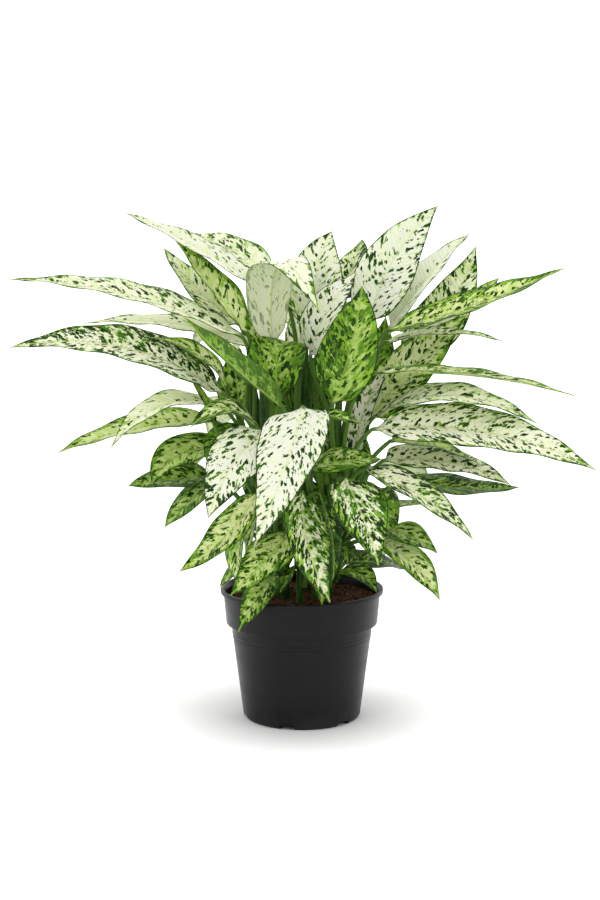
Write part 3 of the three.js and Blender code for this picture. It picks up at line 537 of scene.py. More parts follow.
# %% Leaf materials
LEAF_COLOURS = {
    "leaf_white": {
        "Pale": (0.73, 0.745, 0.625), "Lime": (0.64, 0.71, 0.34), "Bright": (0.34, 0.54, 0.055),
        "Green": (0.09, 0.25, 0.012), "Underside": (0.76, 0.79, 0.63)},
    "leaf_cream": {
        "Pale": (0.785, 0.79, 0.62), "Lime": (0.56, 0.65, 0.24), "Bright": (0.30, 0.50, 0.040),
        "Green": (0.08, 0.24, 0.010), "Underside": (0.68, 0.73, 0.48)},
    "leaf_lime": {
        "Pale": (0.71, 0.74, 0.43), "Lime": (0.47, 0.60, 0.13), "Bright": (0.27, 0.46, 0.028),
        "Green": (0.075, 0.21, 0.008), "Underside": (0.54, 0.63, 0.30)},
    "leaf_green": {
        "Pale": (0.50, 0.60, 0.22), "Lime": (0.26, 0.42, 0.055), "Bright": (0.20, 0.37, 0.018),
        "Green": (0.065, 0.17, 0.008), "Underside": (0.12, 0.24, 0.04)},
}
SHARED_COLOURS = {"Dark": (0.008, 0.034, 0.002), "Stalk green": (0.08, 0.17, 0.020)}


def leaf_finish(slot):
    """A leaf surface: the variegation's colour and gloss, veins in the bump, some light let through."""
    made, tree, shader = material(
        slot, subsurface_weight=0.25, subsurface_scale=0.0012, subsurface_radius=(0.6, 1.0, 0.2),
        specular_ior_level=0.12)
    pattern = node(tree, "ShaderNodeGroup", node_tree=VARIEGATION)
    for label, colour in {**SHARED_COLOURS, **LEAF_COLOURS[slot]}.items():
        pattern.inputs[label].default_value = (*colour, 1)
    drawn = pattern.outputs
    dress(tree, shader, drawn["Colour"], drawn["Roughness"], drawn["Height"], 0.5, 0.0007)
    return made


LEAF_FINISHES = {slot: leaf_finish(slot) for slot in LEAF_COLOURS}
print("leaf finishes:", sorted(LEAF_FINISHES))

# %% [markdown]
# ## The stems
# A cane is green and fleshy, with a pale ring where each old leaf sat. The petioles wrap it, and at its top
# the next leaf is still rolled into a spear. A lathe would do for a straight stem, but these lean, so
# level rings of points are carried along the leaning axis, and a ring is a little wider at a leaf scar.

# %% Stem shapes
SCAR = {"gap": 13.0, "width": 1.1, "swell": 0.03}
SPEAR = {"neck": 0.96, "twist": 2.5, "seam_depth": 0.16, "seam_width": 0.35}
STEM_GRID = {"sides": 32, "below": 60, "above": 40}


def stem_axis(stem, z):
    """The leaning axis: the foot's place at the soil, moved towards the top's place by the share of the
    height."""
    _, _, foot, top, top_z = stem
    share = (np.asarray(z, float) - SOIL["wall_z"]) / (top_z - SOIL["wall_z"])
    return np.stack([mix(foot[0], top[0], share), mix(foot[1], top[1], share), share * 0 + z], -1)


def stem_radius(stem, z):
    """The radius shrinks evenly from the soil to the top."""
    share = np.minimum(1, (np.asarray(z, float) - SOIL["wall_z"]) / (stem[4] - SOIL["wall_z"]))
    return mix(stem[1]["foot_radius"], stem[1]["top_radius"], share)


def stem_direction(stem):
    """The way the stem leans, at length one."""
    return unit(stem_axis(stem, stem[4]) - stem_axis(stem, SOIL["wall_z"]))


def stem_skin(stem):
    """Level rings up the axis. At even gaps a leaf scar, a bell curve of the height, swells the stem a
    little. Above the top the radius falls evenly to the spear's tip, and a seam, a bell curve of the angle
    that winds up the spear, shows where the rolled leaf's edge lies."""
    size, top_z = stem[1], stem[4]
    below = np.linspace(size["foot_z"], top_z, STEM_GRID["below"])
    spear = np.linspace(top_z, top_z + size["spear"], STEM_GRID["above"])
    z = np.concatenate([below, spear[1:]])
    above = np.clip((z - top_z) / size["spear"], 0, 1)
    from_scar = z % SCAR["gap"] - SCAR["gap"] / 2
    scar = np.exp(-(from_scar / SCAR["width"]) ** 2) * (above == 0)
    radius = stem_radius(stem, z) * (1 - SCAR["swell"] + SCAR["swell"] * scar)
    radius = np.where(above > 0, size["top_radius"] * SPEAR["neck"] * (1 - SPEAR_TAPER * above), radius)
    turn = np.arange(STEM_GRID["sides"]) * 2 * math.pi / STEM_GRID["sides"]
    roll = (turn[None, :] - above[:, None] * SPEAR["twist"]) % (2 * math.pi)
    bell = np.exp(-(roll / SPEAR["seam_width"]) ** 2)
    reach = radius[:, None] * (1 - SPEAR["seam_depth"] * (above[:, None] > 0) * bell)
    centre = stem_axis(stem, z)[:, None, :]
    offset = np.stack([reach * np.cos(turn), reach * np.sin(turn), reach * 0], -1)
    return skin(centre + offset)


for stem in STEMS:
    lean = math.degrees(math.acos(stem_direction(stem)[2]))
    print(stem[0], "leans by", round(lean, 1), "degrees")

# %% [markdown]
# ## The blades
# Each blade is a surface of two shares: t runs from the collar to the tip and s from rim to rim. The
# midrib is the one parabola through collar, crown and tip, and the outline says how wide each ring is. The
# fold along the midrib, a slight arch of each half, a slow ripple of the rims and the side veins are added
# as heights, so a reader can leave one out and see what it did. The petiole is the same grid, closed to a
# round stalk.

# %% The midrib and its frame
def midrib(collar, crown, tip, looks, t):
    """Point, tangent, side and up at each share t of the one parabola through collar, crown and tip."""
    near = np.linalg.norm(crown - collar)
    share = near / (near + np.linalg.norm(tip - crown))
    bend = (crown - (1 - share) ** 2 * collar - share ** 2 * tip) / (2 * share * (1 - share))
    t = t[:, None]
    point = (1 - t) ** 2 * collar + 2 * t * (1 - t) * bend + t * t * tip
    tangent = unit((1 - t) * (bend - collar) + t * (tip - bend))
    across = unit(np.cross(bend - collar, tip - collar))
    crown_tangent = unit((1 - share) * (bend - collar) + share * (tip - bend))
    crown_up = square_to(looks, crown_tangent)
    in_plane = crown_up @ np.cross(across, crown_tangent)
    up = in_plane * np.cross(across, tangent) + (crown_up @ across) * across
    return point, tangent, np.cross(tangent, up), up


def outline(leaf, t):
    """Half width: a rounded base, the widest place a third of the way out, a long pointed tip."""
    width, tip = leaf["width"], BLADE["tip_taper"]
    base = ROUND_BASES.get(leaf["name"], BLADE["base_taper"])
    widest = base / (base + tip)
    form = (t / widest) ** base * ((1 - t) / (1 - widest)) ** tip
    return np.hypot(mix(PETIOLE["neck_radius"], BLADE["half_thickness"], t), width / 2 * form)


widest_at = BLADE["base_taper"] / (BLADE["base_taper"] + BLADE["tip_taper"])
print("a blade is widest at the share", round(widest_at, 2), "of its length")


# %% [markdown]
# ## Rings along the blade
# A real blade is thin and stiff because it is folded along the midrib, grooved above it and ribbed below.
# A flat card with a picture would look right only from the front. These blades have a thickness of their
# own, thinner at the rim, and each small form is a height with its own line, so they can be tried singly.
# The columns stand closer at the midrib, where the groove and the rib need them.

# %% The blade's rings
HALF_COLUMNS = np.array([0, .025, .055, .1, .16, .24, .34, .45, .57, .69, .8, .89, .96, 1])
COLUMNS = np.concatenate([-HALF_COLUMNS[:0:-1], HALF_COLUMNS])
BLADE_STEPS = 84
ARCH = 0.05
RIPPLE = {"height": 1.0, "length": 52.0, "leaf_step": 2.4, "side_step": 1.9}
VEIN_RELIEF = {"height": 0.26, "gap": 9.5}
CALM_ENDS = {"base": 0.1, "tip": 0.12}
GROOVE = {"depth": 0.6, "width": 1.2}
RIB = {"depth": (1.5, 0.2), "width": (1.7, 0.7)}
THINNING = (0.85, 0.55)
# shares of the length over which the round neck opens flat, and over which its green fades out
NECK_OPENS, NECK_FADES = 0.09, 0.05


def ring_points(point, side, up, sideways, above, below):
    """A closed ring: the upper face from rim to rim, then the lower face back."""
    lie = np.concatenate([sideways, sideways[:, ::-1]], 1)[..., None]
    rise = np.concatenate([above, below[:, ::-1]], 1)[..., None]
    return point[:, None] + side[:, None] * lie + up[:, None] * rise


def blade_rings(leaf, number):
    """A ring at each share t of the length, closer at both ends. Its height is the sum of the fold, an arch
    of each half, a ripple that grows to the rim with the square of the way out, and a wave over the side
    veins' number. The groove and the rib are bell curves about the midrib. At the base the ring opens
    gently from the round neck."""
    collar, crown, tip, looks = (np.array(leaf[key], float) for key in ("collar", "crown", "tip", "looks"))
    even = np.linspace(0, 1, BLADE_STEPS)
    t = mix(even, (1 - np.cos(math.pi * even)) / 2, 0.5)
    point, tangent, side, up = midrib(collar, crown, tip, looks, t)
    length = np.linalg.norm(crown - collar) + np.linalg.norm(tip - crown)
    t, s = t[:, None], COLUMNS[None, :]
    away = np.abs(s)
    reach = outline(leaf, t)
    out, along = reach * away, t * length + 0 * s

    opened = np.clip(t / BLADE["neck_length"], 0, 1)
    fold = math.radians(leaf["fold"]) * opened
    body = smooth(t / CALM_ENDS["base"]) * smooth((1 - t) / CALM_ENDS["tip"])
    arch = ARCH * reach * np.sin(math.pi * away) * opened
    phase = number * RIPPLE["leaf_step"] + (s > 0) * RIPPLE["side_step"]
    wave = np.sin(2 * math.pi * along / RIPPLE["length"] + phase)
    ripple = RIPPLE["height"] * body * away ** 2 * wave
    vein = along - out * (VEIN_LINE["slope"] + VEIN_LINE["bend"] * out)
    ridges = np.sin(math.pi * away) * np.cos(2 * math.pi * vein / VEIN_RELIEF["gap"])
    height = out * np.sin(fold) + arch + ripple + VEIN_RELIEF["height"] * body * ridges

    groove = GROOVE["depth"] * opened * np.exp(-(out / GROOVE["width"]) ** 2) * (1 - t)
    rib = mix(*RIB["depth"], t) * np.exp(-(out / mix(*RIB["width"], t)) ** 2)
    half = BLADE["half_thickness"] * mix(*THINNING, away)
    turn, neck, flat = s * math.pi / 2, PETIOLE["neck_radius"], smooth(t / NECK_OPENS)
    sideways = mix(neck * np.sin(turn), reach * s * np.cos(fold), flat)
    above = mix(neck * np.cos(turn), height + half - groove, flat)
    below = mix(-neck * np.cos(turn), height - half - rib, flat)
    rings = ring_points(point, side, up, sideways, above, below)
    measures = {
        "along": along, "out": reach * s, "rim": reach * (1 - away),
        "stalk": 1 - smooth(t / NECK_FADES) + 0 * s}
    return rings, measures, (collar, tangent[0], up[0])


print("rings along a blade:", BLADE_STEPS, " points in each:", 2 * len(COLUMNS))


# %% [markdown]
# ## Rings along the petiole
# The petiole of a dieffenbachia wraps its stem at the root, rises beside it and bends out to the blade,
# with a channel along its upper side. A bent tube would have a round section all the way. Here the rings
# have as many points as the blade's, so stalk and blade close to one skin without a seam.

# %% The petiole's rings
STALK_STEPS = 16
SHEATH = {"swell": 0.25, "length": 0.12}
CHANNEL = {"depth": 0.3, "width": 0.5, "fades": 0.2}
# a petiole has no rim and no midrib: these measures, in millimetres, keep the paint of both off it
STALK_MEASURES = {"out": 2, "rim": 9}


def stalk_rings(leaf, collar, collar_tangent, up):
    """A cubic curve from the root to the collar, that leaves along the stem and arrives along the midrib.
    The section is round. Bell curves swell it at the root and press a channel into its upper side."""
    stem = STEMS[leaf["stem"] - 1]
    rise = stem_direction(stem)
    bearing = math.radians(leaf["bearing"])
    outward = square_to(np.array([math.cos(bearing), math.sin(bearing), 0.0]), rise)
    seat = 0 if leaf["small"] else PETIOLE["root_radius"] + PETIOLE["seat"]
    root = stem_axis(stem, leaf["root_z"]) + outward * (stem_radius(stem, leaf["root_z"]) + seat)
    span = np.linalg.norm(collar - root)
    arrive = unit(unit(collar - root) + collar_tangent)
    guides = [
        root, root + rise * PETIOLE["rise"] * span, collar - arrive * PETIOLE["reach"] * span, collar]
    share = np.linspace(0, 1, STALK_STEPS + 1)[:-1, None]
    left = 1 - share
    weights = [left ** 3, 3 * left ** 2 * share, 3 * left * share ** 2, share ** 3]
    point = sum(weight * guide for weight, guide in zip(weights, guides))
    slopes = [left ** 2, 2 * left * share, share ** 2]
    steps = [after - before for before, after in zip(guides, guides[1:])]
    tangent = unit(sum(slope * step for slope, step in zip(slopes, steps)))
    ups = []
    for step in tangent[::-1]:
        up = square_to(up, step)
        ups.append(up)
    up = np.array(ups[::-1])
    radius = mix(PETIOLE["root_radius"], PETIOLE["neck_radius"], share)
    turn = COLUMNS[None, :] * math.pi / 2
    sheath = 1 + SHEATH["swell"] * np.exp(-(share / SHEATH["length"]) ** 2)
    middle = smooth(share / CHANNEL["fades"]) * smooth((1 - share) / CHANNEL["fades"])
    channel = 1 - CHANNEL["depth"] * np.exp(-(turn / CHANNEL["width"]) ** 2) * middle
    sideways = radius * sheath * np.sin(turn)
    above, below = radius * np.cos(turn) * channel, -radius * np.cos(turn)
    rings = ring_points(point, np.cross(tangent, up), up, sideways, above, below)
    along = (share - 1) * span + 0 * turn
    flat = np.ones_like(along)
    measures = {
        "along": along, "out": STALK_MEASURES["out"] * np.sin(turn) * flat,
        "rim": STALK_MEASURES["rim"] * flat, "stalk": flat}
    return rings, measures


print("points in each leaf:", (BLADE_STEPS + STALK_STEPS) * 2 * len(COLUMNS))

# %% [markdown]
# ## How each leaf is painted
# No two leaves are alike, but each is told by three amounts: how lime its ground is, how many dark flecks
# it has, and how much green washes over it. The last two may differ between the two halves. A tone gives
# the usual amounts, and the leaves that stand out in the photograph have their own. The amounts could be
# painted by hand, point by point. They are worked out instead, and ride on the mesh as a layer, so one
# leaf can be made greener by changing one number.

# %% The amounts of paint
# tone: tint, share of dark flecks on the two halves, share of green wash on the two halves
TONES = {
    "white": (0.15, 0.09, 0.09, 0.03, 0.03),
    "cream": (0.30, 0.13, 0.13, 0.12, 0.12),
    "lime": (0.45, 0.16, 0.16, 0.35, 0.35),
    "green": (0.50, 0.28, 0.28, 0.75, 0.75),
}
# some amounts below are painted shade, as noted beside them
SPECIAL = {
    "leaf_01": (0.20, 0.03, 0.05, 0.02, 0.04), "leaf_02": (0.25, 0.17, 0.20, 0.10, 0.12),
    "leaf_03": (0.35, 0.14, 0.12, 0.08, 0.06), "leaf_04": (0.40, 0.07, 0.10, 0.04, 0.26),
    # leaf_06 gets less light than the leaves round it: its heavy wash and flecks are partly its own green and
    # partly painted shade
    "leaf_05": (0.00, 0.04, 0.10, 0.03, 0.04), "leaf_06": (0.65, 0.32, 0.32, 0.90, 0.90),
    "leaf_07": (0.20, 0.06, 0.20, 0.04, 0.10), "leaf_08": (0.12, 0.28, 0.46, 0.03, 0.10),
    "leaf_09": (0.05, 0.02, 0.03, 0.02, 0.03), "leaf_10": (0.60, 0.52, 0.52, 0.88, 0.88),
    "leaf_11": (0.25, 0.03, 0.04, 0.06, 0.10), "leaf_12": (0.40, 0.06, 0.08, 0.04, 0.08),
    "leaf_13": (0.35, 0.42, 0.40, 0.44, 0.40), "leaf_14": (0.30, 0.20, 0.20, 0.18, 0.22),
    "leaf_15": (0.40, 0.38, 0.38, 0.66, 0.66), "leaf_16": (0.30, 0.18, 0.18, 0.42, 0.42),
    "leaf_17": (0.15, 0.22, 0.26, 0.03, 0.03), "leaf_18": (0.08, 0.20, 0.11, 0.02, 0.02),
    "leaf_19": (0.35, 0.26, 0.24, 0.20, 0.26), "leaf_20": (0.10, 0.26, 0.26, 0.38, 0.36),
    "leaf_21": (0.45, 0.32, 0.32, 0.50, 0.50), "leaf_22": (0.25, 0.34, 0.36, 0.50, 0.50),
    "leaf_23": (0.25, 0.16, 0.12, 0.06, 0.04), "leaf_24": (0.15, 0.16, 0.18, 0.04, 0.05),
    "leaf_25": (0.10, 0.13, 0.16, 0.02, 0.04), "leaf_26": (0.55, 0.36, 0.16, 0.94, 0.55),
    "leaf_27": (0.15, 0.01, 0.03, 0.02, 0.04), "leaf_28": (0.30, 0.24, 0.20, 0.06, 0.08),
    "leaf_29": (0.50, 0.24, 0.28, 0.36, 0.40), "leaf_30": (0.30, 0.26, 0.26, 0.30, 0.30),
    "leaf_31": (0.30, 0.14, 0.22, 0.06, 0.14), "leaf_32": (0.05, 0.20, 0.18, 0.05, 0.03),
    "leaf_33": (0.25, 0.18, 0.14, 0.20, 0.08), "leaf_34": (0.08, 0.24, 0.20, 0.08, 0.03),
    "leaf_35": (0.10, 0.20, 0.20, 0.05, 0.03), "leaf_36": (0.40, 0.46, 0.46, 0.80, 0.80),
    "leaf_37": (0.25, 0.34, 0.34, 0.20, 0.20), "leaf_38": (0.20, 0.30, 0.30, 0.42, 0.42),
    "leaf_39": (0.12, 0.36, 0.38, 0.64, 0.52), "leaf_40": (0.25, 0.22, 0.22, 0.42, 0.42),
    "leaf_41": (0.35, 0.14, 0.18, 0.16, 0.26), "leaf_43": (0.60, 0.75, 0.75, 0.97, 0.97),
    "leaf_44": (0.45, 0.42, 0.42, 0.15, 0.15), "small_01": (0.60, 0.45, 0.45, 0.90, 0.90),
    "small_02": (0.55, 0.50, 0.50, 0.65, 0.65), "small_07": (0.80, 0.24, 0.24, 0.60, 0.60),
    # small_09, small_11 and small_13 grow deep in the plant's middle: their heavy flecks and almost full wash
    # are painted shade
    "small_09": (0.60, 0.80, 0.80, 0.98, 0.98), "small_11": (0.60, 0.50, 0.50, 0.95, 0.95),
    "small_13": (0.60, 0.75, 0.75, 0.97, 0.97), "small_14": (0.50, 0.38, 0.38, 0.72, 0.72),
}
print("leaves with their own amounts:", len(SPECIAL))

# %% The layers of paint
# how far a cloud spreads about one half
SPREAD = 0.115
BELL = {"scale": 4.91, "power": 0.14}
# a share's factor in the middle of the leaf, and what comes on top at the rim, the tip and the base
CROWDING = {"flecks": (0.7, 0.8, 0.5, 0.3), "wash": (0.65, 0.9, 0.4, 0.0)}
TIP_STARTS = {"flecks": 0.75, "wash": 0.8}
BASE_ENDS = 0.2
# the green band along the rim: its share, and its width in millimetres, by tone
RIM_GREEN = {"white": 0.30, "cream": 0.70, "lime": 1.00, "green": 0.90}
RIM_BAND = {"white": 4.0, "cream": 5.5, "lime": 8.0, "green": 8.0}
FLECKS_LOST_IN_BAND = 0.5
RIM_TINT = 0.15
# millimetres beside the midrib over which one half's amounts turn into the other's
HALVES_BLEND = 3


def level(share):
    """The height that a cloudy value passes on the given share of a surface, when it is spread like a
    bell: the bell's scale times the difference of the 0.14th powers of the two shares."""
    held = np.clip(share, 0.001, 0.98)
    return 0.5 + SPREAD * BELL["scale"] * ((1 - held) ** BELL["power"] - held ** BELL["power"])


def crowding(kind, away, t):
    """A factor for a share: it grows with the square of the way out to the rim, and gently at both ends."""
    middle, rim, tip, base = CROWDING[kind]
    start = TIP_STARTS[kind]
    ends = tip * smooth((t - start) / (1 - start)) + base * smooth((BASE_ENDS - t) / BASE_ENDS)
    return middle + rim * away ** 2 + ends


def paint_layers(measures, leaf, number):
    """Flecks crowd towards the rim, the tip and the base. The wash crowds towards the rim and the tip, and
    a band of it follows the rim, where flecks are fewer."""
    tint, flecks_a, flecks_b, wash_a, wash_b = SPECIAL.get(leaf["name"], TONES[leaf["tone"]])
    out, rim, along = measures["out"], measures["rim"], measures["along"]
    away = np.abs(out) / np.maximum(np.abs(out) + rim, 1e-6)
    t = np.clip(along / max(along.max(), 1e-6), 0, 1)
    side = smooth(out / HALVES_BLEND + 0.5)
    band = RIM_GREEN[leaf["tone"]] * smooth(1 - rim / RIM_BAND[leaf["tone"]])
    thinned = crowding("flecks", away, t) - FLECKS_LOST_IN_BAND * band
    flecks = level(mix(flecks_a, flecks_b, side) * thinned)
    wash = level(mix(wash_a, wash_b, side) * crowding("wash", away, t) + band)
    tint = tint + RIM_TINT * away

    def both(upper, lower=None):
        """The values of the upper face from rim to rim, then those of the lower face back."""
        return np.concatenate([upper, (upper if lower is None else lower)[:, ::-1]], 1)

    zero = np.zeros_like(out)
    place = np.stack([both(out), both(along), both(rim)], -1)
    paint = np.stack([both(tint), both(flecks), both(wash)], -1)
    kind = np.stack([both(zero, zero + 1), both(measures["stalk"]), both(zero + number)], -1)
    return {"place": place, "paint": paint, "kind": kind}


def read_leaf(row):
    """A row of the table as named values."""
    keys = ("name", "stem", "root_z", "bearing", "collar", "crown", "tip", "width", "looks", "fold", "tone")
    leaf = dict(zip(keys, row))
    leaf["small"] = leaf["name"].startswith("small")
    return leaf


def leaf_skin(leaf, number):
    """Petiole and blade as one closed skin with its measures and paint."""
    blade, blade_measures, neck = blade_rings(leaf, number)
    stalk, stalk_measures = stalk_rings(leaf, *neck)
    measures = {key: np.concatenate([stalk_measures[key], blade_measures[key]]) for key in blade_measures}
    return skin(np.concatenate([stalk, blade]), **paint_layers(measures, leaf, number))


print("levels for a tenth, a half and nine tenths:", level(np.array([0.1, 0.5, 0.9])).round(2))


# %% [markdown]
# ## Growing the leaves
# Each large leaf is a piece of its own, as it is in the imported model, and takes that leaf's place. The
# small leaves grow out of their stem, so they wait until the stems are made.

# %% Grow the leaves
leaves = [read_leaf(row) for row in LEAVES]
for number, leaf in enumerate(leaves):
    leaf["skin"] = leaf_skin(leaf, number)
for leaf in leaves:
    if not leaf["small"]:
        slot = "leaf_" + leaf["tone"]
        piece(leaf["name"] + "_blade", leaf["skin"], LEAF_FINISHES[slot], [leaf["name"]])
print("large leaves:", sum(not leaf["small"] for leaf in leaves))

# %% [markdown]
# ## The stems' finish
# The skin of a cane is a wet, deep green with fine streaks along it, paler where a leaf has dropped. A
# picture of bark would show its seam. A noise that is drawn out along the stem has none.

# %% Stem finish
STEM_GREENS = {
    "deep": (0.010, 0.036, 0.003, 1), "fresh": (0.045, 0.12, 0.012, 1), "scar": (0.30, 0.36, 0.14, 1)}
SCAR_STRENGTH = 0.05
# metres from halfway between two scars, at which the pale ring starts and is full
SCAR_RING = (0.0052, 0.0063)
# streaks to a metre on each axis
STREAKS = (260, 260, 26)


def stem_finish():
    """Fleshy green, streaked up the stem, paler at the leaf scars."""
    made, tree, shader = material(
        "stem", subsurface_weight=0.15, subsurface_scale=0.003, specular_ior_level=0.15)
    place = object_place(tree)
    streaks = noise(tree, stretched(tree, place, STREAKS), 1.0, 3.0, 0.6)
    from_scar = maths(tree, "PINGPONG", parts(tree, place)[2], SCAR["gap"] / 2 * MM)
    scar = maths(tree, "MULTIPLY", ramp(tree, from_scar, *SCAR_RING), SCAR_STRENGTH)
    body = blend(tree, ramp(tree, streaks, 0.35, 0.7), STEM_GREENS["deep"], STEM_GREENS["fresh"])
    colour = blend(tree, scar, body, STEM_GREENS["scar"])
    dress(tree, shader, colour, ramp(tree, streaks, 0.2, 0.8, 0.35, 0.55), streaks, 0.3, 0.0005)
    return made


STEM_FINISH = stem_finish()
print("stem finish:", len(STEM_FINISH.node_tree.nodes), "nodes")

# %% [markdown]
# ## Growing the stems
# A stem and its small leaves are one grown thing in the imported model. A mesh with several materials would
# do, but here the small leaves of one tone on one stem are a piece beside it, so that each piece has one
# finish and reads like the large leaves.

# %% Grow the stems and their small leaves
for order, stem in enumerate(STEMS, 1):
    piece(stem[0] + "_stalk", stem_skin(stem), STEM_FINISH, [stem[0]])
    grown = [leaf for leaf in leaves if leaf["small"] and leaf["stem"] == order]
    for tone in TONES:
        skins = [leaf["skin"] for leaf in grown if leaf["tone"] == tone]
        if skins:
            slot = "leaf_" + tone
            piece(f"{stem[0]}_small_{tone}", together(skins), LEAF_FINISHES[slot])
    print(stem[0], "carries", len(grown), "small leaves")

# %% [markdown]
# ## The pot
# An injection-moulded nursery pot: a tapered body, a step out to a collar band, a rolled lip, two fine
# rings under the collar and drain notches at the foot. It is turned like a lathe piece, so its profile is
# carried round the axis; the notches lift the foot's points between two angles.

# %% The pot's profile
RIDGES = {"heights": (85.5, 90.0), "half_width": 0.8, "swell": 0.45}


def fillet(corner, before, after, radius, steps=5):
    """Points of a quarter-round between two straight runs that meet at a corner: a weighted blend of
    the two tangent points and the corner, which is the parabola that touches both runs."""
    corner, before, after = (np.array(p, float) for p in (corner, before, after))
    start = corner + unit(before - corner) * radius
    end = corner + unit(after - corner) * radius
    u = np.linspace(0, 1, steps)[:, None]
    return (1 - u) ** 2 * start + 2 * u * (1 - u) * corner + u * u * end


def rounded(points, radii):
    """A profile whose inner corners are rounded by their own radii."""
    curve = [np.array([points[0]], float)]
    for before, corner, after, radius in zip(points, points[1:], points[2:], radii):
        curve.append(fillet(corner, before, after, radius))
    curve.append(np.array([points[-1]], float))
    return np.concatenate(curve)


def body_radius(z):
    """The body widens evenly from the rounding of its foot to the step under the collar."""
    low, high = POT["foot_round"], POT["collar_foot_z"] - POT["collar_round"]
    return mix(POT["foot_radius"], POT["body_top_radius"], (z - low) / (high - low))


def pot_profile():
    """Radius and height from the middle of the foot, up the outside, over the lip and down the inside."""
    p = POT
    lip_foot = p["height"] - p["lip_depth"]
    ridges = []
    for z in RIDGES["heights"]:
        low, high = z - RIDGES["half_width"], z + RIDGES["half_width"]
        ridges += [(body_radius(low), low), (body_radius(z) + RIDGES["swell"], z), (body_radius(high), high)]
    corners = [
        (0, 0), (p["foot_radius"] - p["foot_round"], 0), (p["foot_radius"], p["foot_round"]),
        (body_radius(DRAIN["clear_z"]), DRAIN["clear_z"]), *ridges,
        (p["body_top_radius"], p["collar_foot_z"] - p["collar_round"]),
        (p["collar_foot_radius"], p["collar_foot_z"]),
        (p["collar_top_radius"], lip_foot), (p["rim_radius"], lip_foot + p["lip_round"]),
        (p["rim_radius"], p["height"] - p["lip_round"]), (p["rim_radius"] - p["lip_round"], p["height"]),
        (p["rim_radius"] - p["lip_width"], p["height"]), (p["collar_top_radius"] - p["wall"], lip_foot),
        (p["collar_foot_radius"] - p["wall"], p["collar_foot_z"] + p["wall"]),
        (p["body_top_radius"] - p["wall"], p["collar_foot_z"] - p["wall"]),
        (p["foot_radius"] - p["wall"], p["floor"]), (0, p["floor"]),
    ]
    # how round each corner between the two ends is, in the same order
    radii = [1.2, 1.2, 1, .3, .3, .3, .3, .3, .3, .35, .8, .5, .45, .35, .35, .6, .8, .8, .8, .5]
    return rounded(corners, radii)


def turned(profile, angles):
    """A closed lathe skin: the profile's loop is carried round the axis as rings of points."""
    radius, height = profile[:, 0], profile[:, 1]
    return np.stack([
        radius[:, None] * np.cos(angles), radius[:, None] * np.sin(angles), height[:, None] + 0 * angles], -1)


print("points in the pot's profile:", len(pot_profile()))


# %% The pot's notches
TURN_STEP = 1.5
# degrees beside a notch wall at which the foot is whole again, and degrees of slack when angles are compared
WALL_STEP, SLACK = 0.25, 0.01


def notch_angles():
    """Even steps round the pot, with two more close beside each wall of a drain notch."""
    even = np.arange(0, 360, TURN_STEP)
    half = math.degrees(DRAIN["width"] / 2 / POT["foot_radius"])
    middles = DRAIN["first_angle"] + np.arange(DRAIN["count"]) * 360 / DRAIN["count"]
    walls = np.concatenate([middles + side * (half + gap) for side in (-1, 1) for gap in (0, WALL_STEP)])
    return np.unique(np.round(np.concatenate([even, walls % 360]), 3)), middles, half


def pot_skin():
    """The turned pot. Between the two walls of each notch, the points of the foot's edge that are lower
    than the notch are lifted to its height. The last third of the profile is the inside, and stays."""
    degrees, middles, half = notch_angles()
    rings = turned(pot_profile(), np.radians(degrees))
    off = np.abs((degrees[None, :] - middles[:, None] + 180) % 360 - 180).min(0)
    inner_radius = POT["foot_radius"] - 2 * POT["foot_round"]
    edge = np.hypot(rings[..., 0], rings[..., 1]) > inner_radius
    lifted = edge & (rings[..., 2] < DRAIN["height"]) & (off <= half + SLACK)[None, :]
    lifted[len(rings) * 2 // 3:] = False
    rings[..., 2] = np.where(lifted, DRAIN["height"], rings[..., 2])
    return skin(rings)


print("angles round the pot:", len(notch_angles()[0]))


# %% [markdown]
# ## The pot's finish
# Nursery pots are often moulded from recycled plastic: nearly black, satin, with a fine grain and faint flow
# lines round them. One flat black would look like a hole in the picture. So the roughness varies with a
# broad haze and the flow lines, which breaks the reflections up, and the foot is scuffed a little paler.

# %% Pot finish
POT_BLACKS = {
    "deep": (0.002, 0.002, 0.0026, 1), "worn": (0.005, 0.005, 0.0058, 1), "scuff": (0.03, 0.03, 0.029, 1)}
SCUFF_HEIGHT, SCUFF_STRENGTH = 0.02, 0.5
# cells to a metre: of the mould grain, of the haze, and of the flow lines on each axis
GRAIN, HAZE, FLOW_LINES = 900.0, 9.0, (14, 14, 90)
FLOW_STRENGTH = 0.4


def pot_finish():
    """Satin charcoal plastic: fine mould grain, a trace of dust that dulls it, paler scuffs by the foot."""
    made, tree, shader = material("pot_plastic", specular_ior_level=0.18)
    place = object_place(tree)
    grain = noise(tree, place, GRAIN, 2.0, 0.6)
    haze = noise(tree, place, HAZE, 4.0, 0.6)
    flow = noise(tree, stretched(tree, place, FLOW_LINES), 1.0, 2.0, 0.5)
    low = ramp(tree, parts(tree, place)[2], 0.0, SCUFF_HEIGHT, SCUFF_STRENGTH, 0.0)
    scuff = maths(tree, "MULTIPLY", low, ramp(tree, haze, 0.45, 0.7))
    body = blend(tree, ramp(tree, haze, 0.3, 0.75), POT_BLACKS["deep"], POT_BLACKS["worn"])
    colour = blend(tree, scuff, body, POT_BLACKS["scuff"])
    dulled = maths(tree, "MULTIPLY_ADD", flow, FLOW_STRENGTH, haze)
    dress(tree, shader, colour, ramp(tree, dulled, 0.4, 1.0, 0.28, 0.44), grain, 0.2, 0.0003)
    return made


pot = pot_skin()
piece("nursery_pot", pot, pot_finish(), ["pot"])
print("points in the pot:", len(pot["points"]))

# %% [markdown]
# ## The soil
# The pot is filled with a coir mix to about 9 mm under its rim. A flat disc would look painted, so the top
# is a disc of rings whose height rises and falls. A displaced square grid would fit the round wall badly.

# %% Soil relief
RELIEF = {"sunk": 1.2, "height": 0.8, "rings": 60, "degrees": 2.0, "covered": 3}
# the radius, in millimetres, of the small hole that closes each end of the bed
POLE = 0.01
SOIL_WALL = POT["collar_top_radius"] - POT["wall"] - SOIL["wall_gap"]


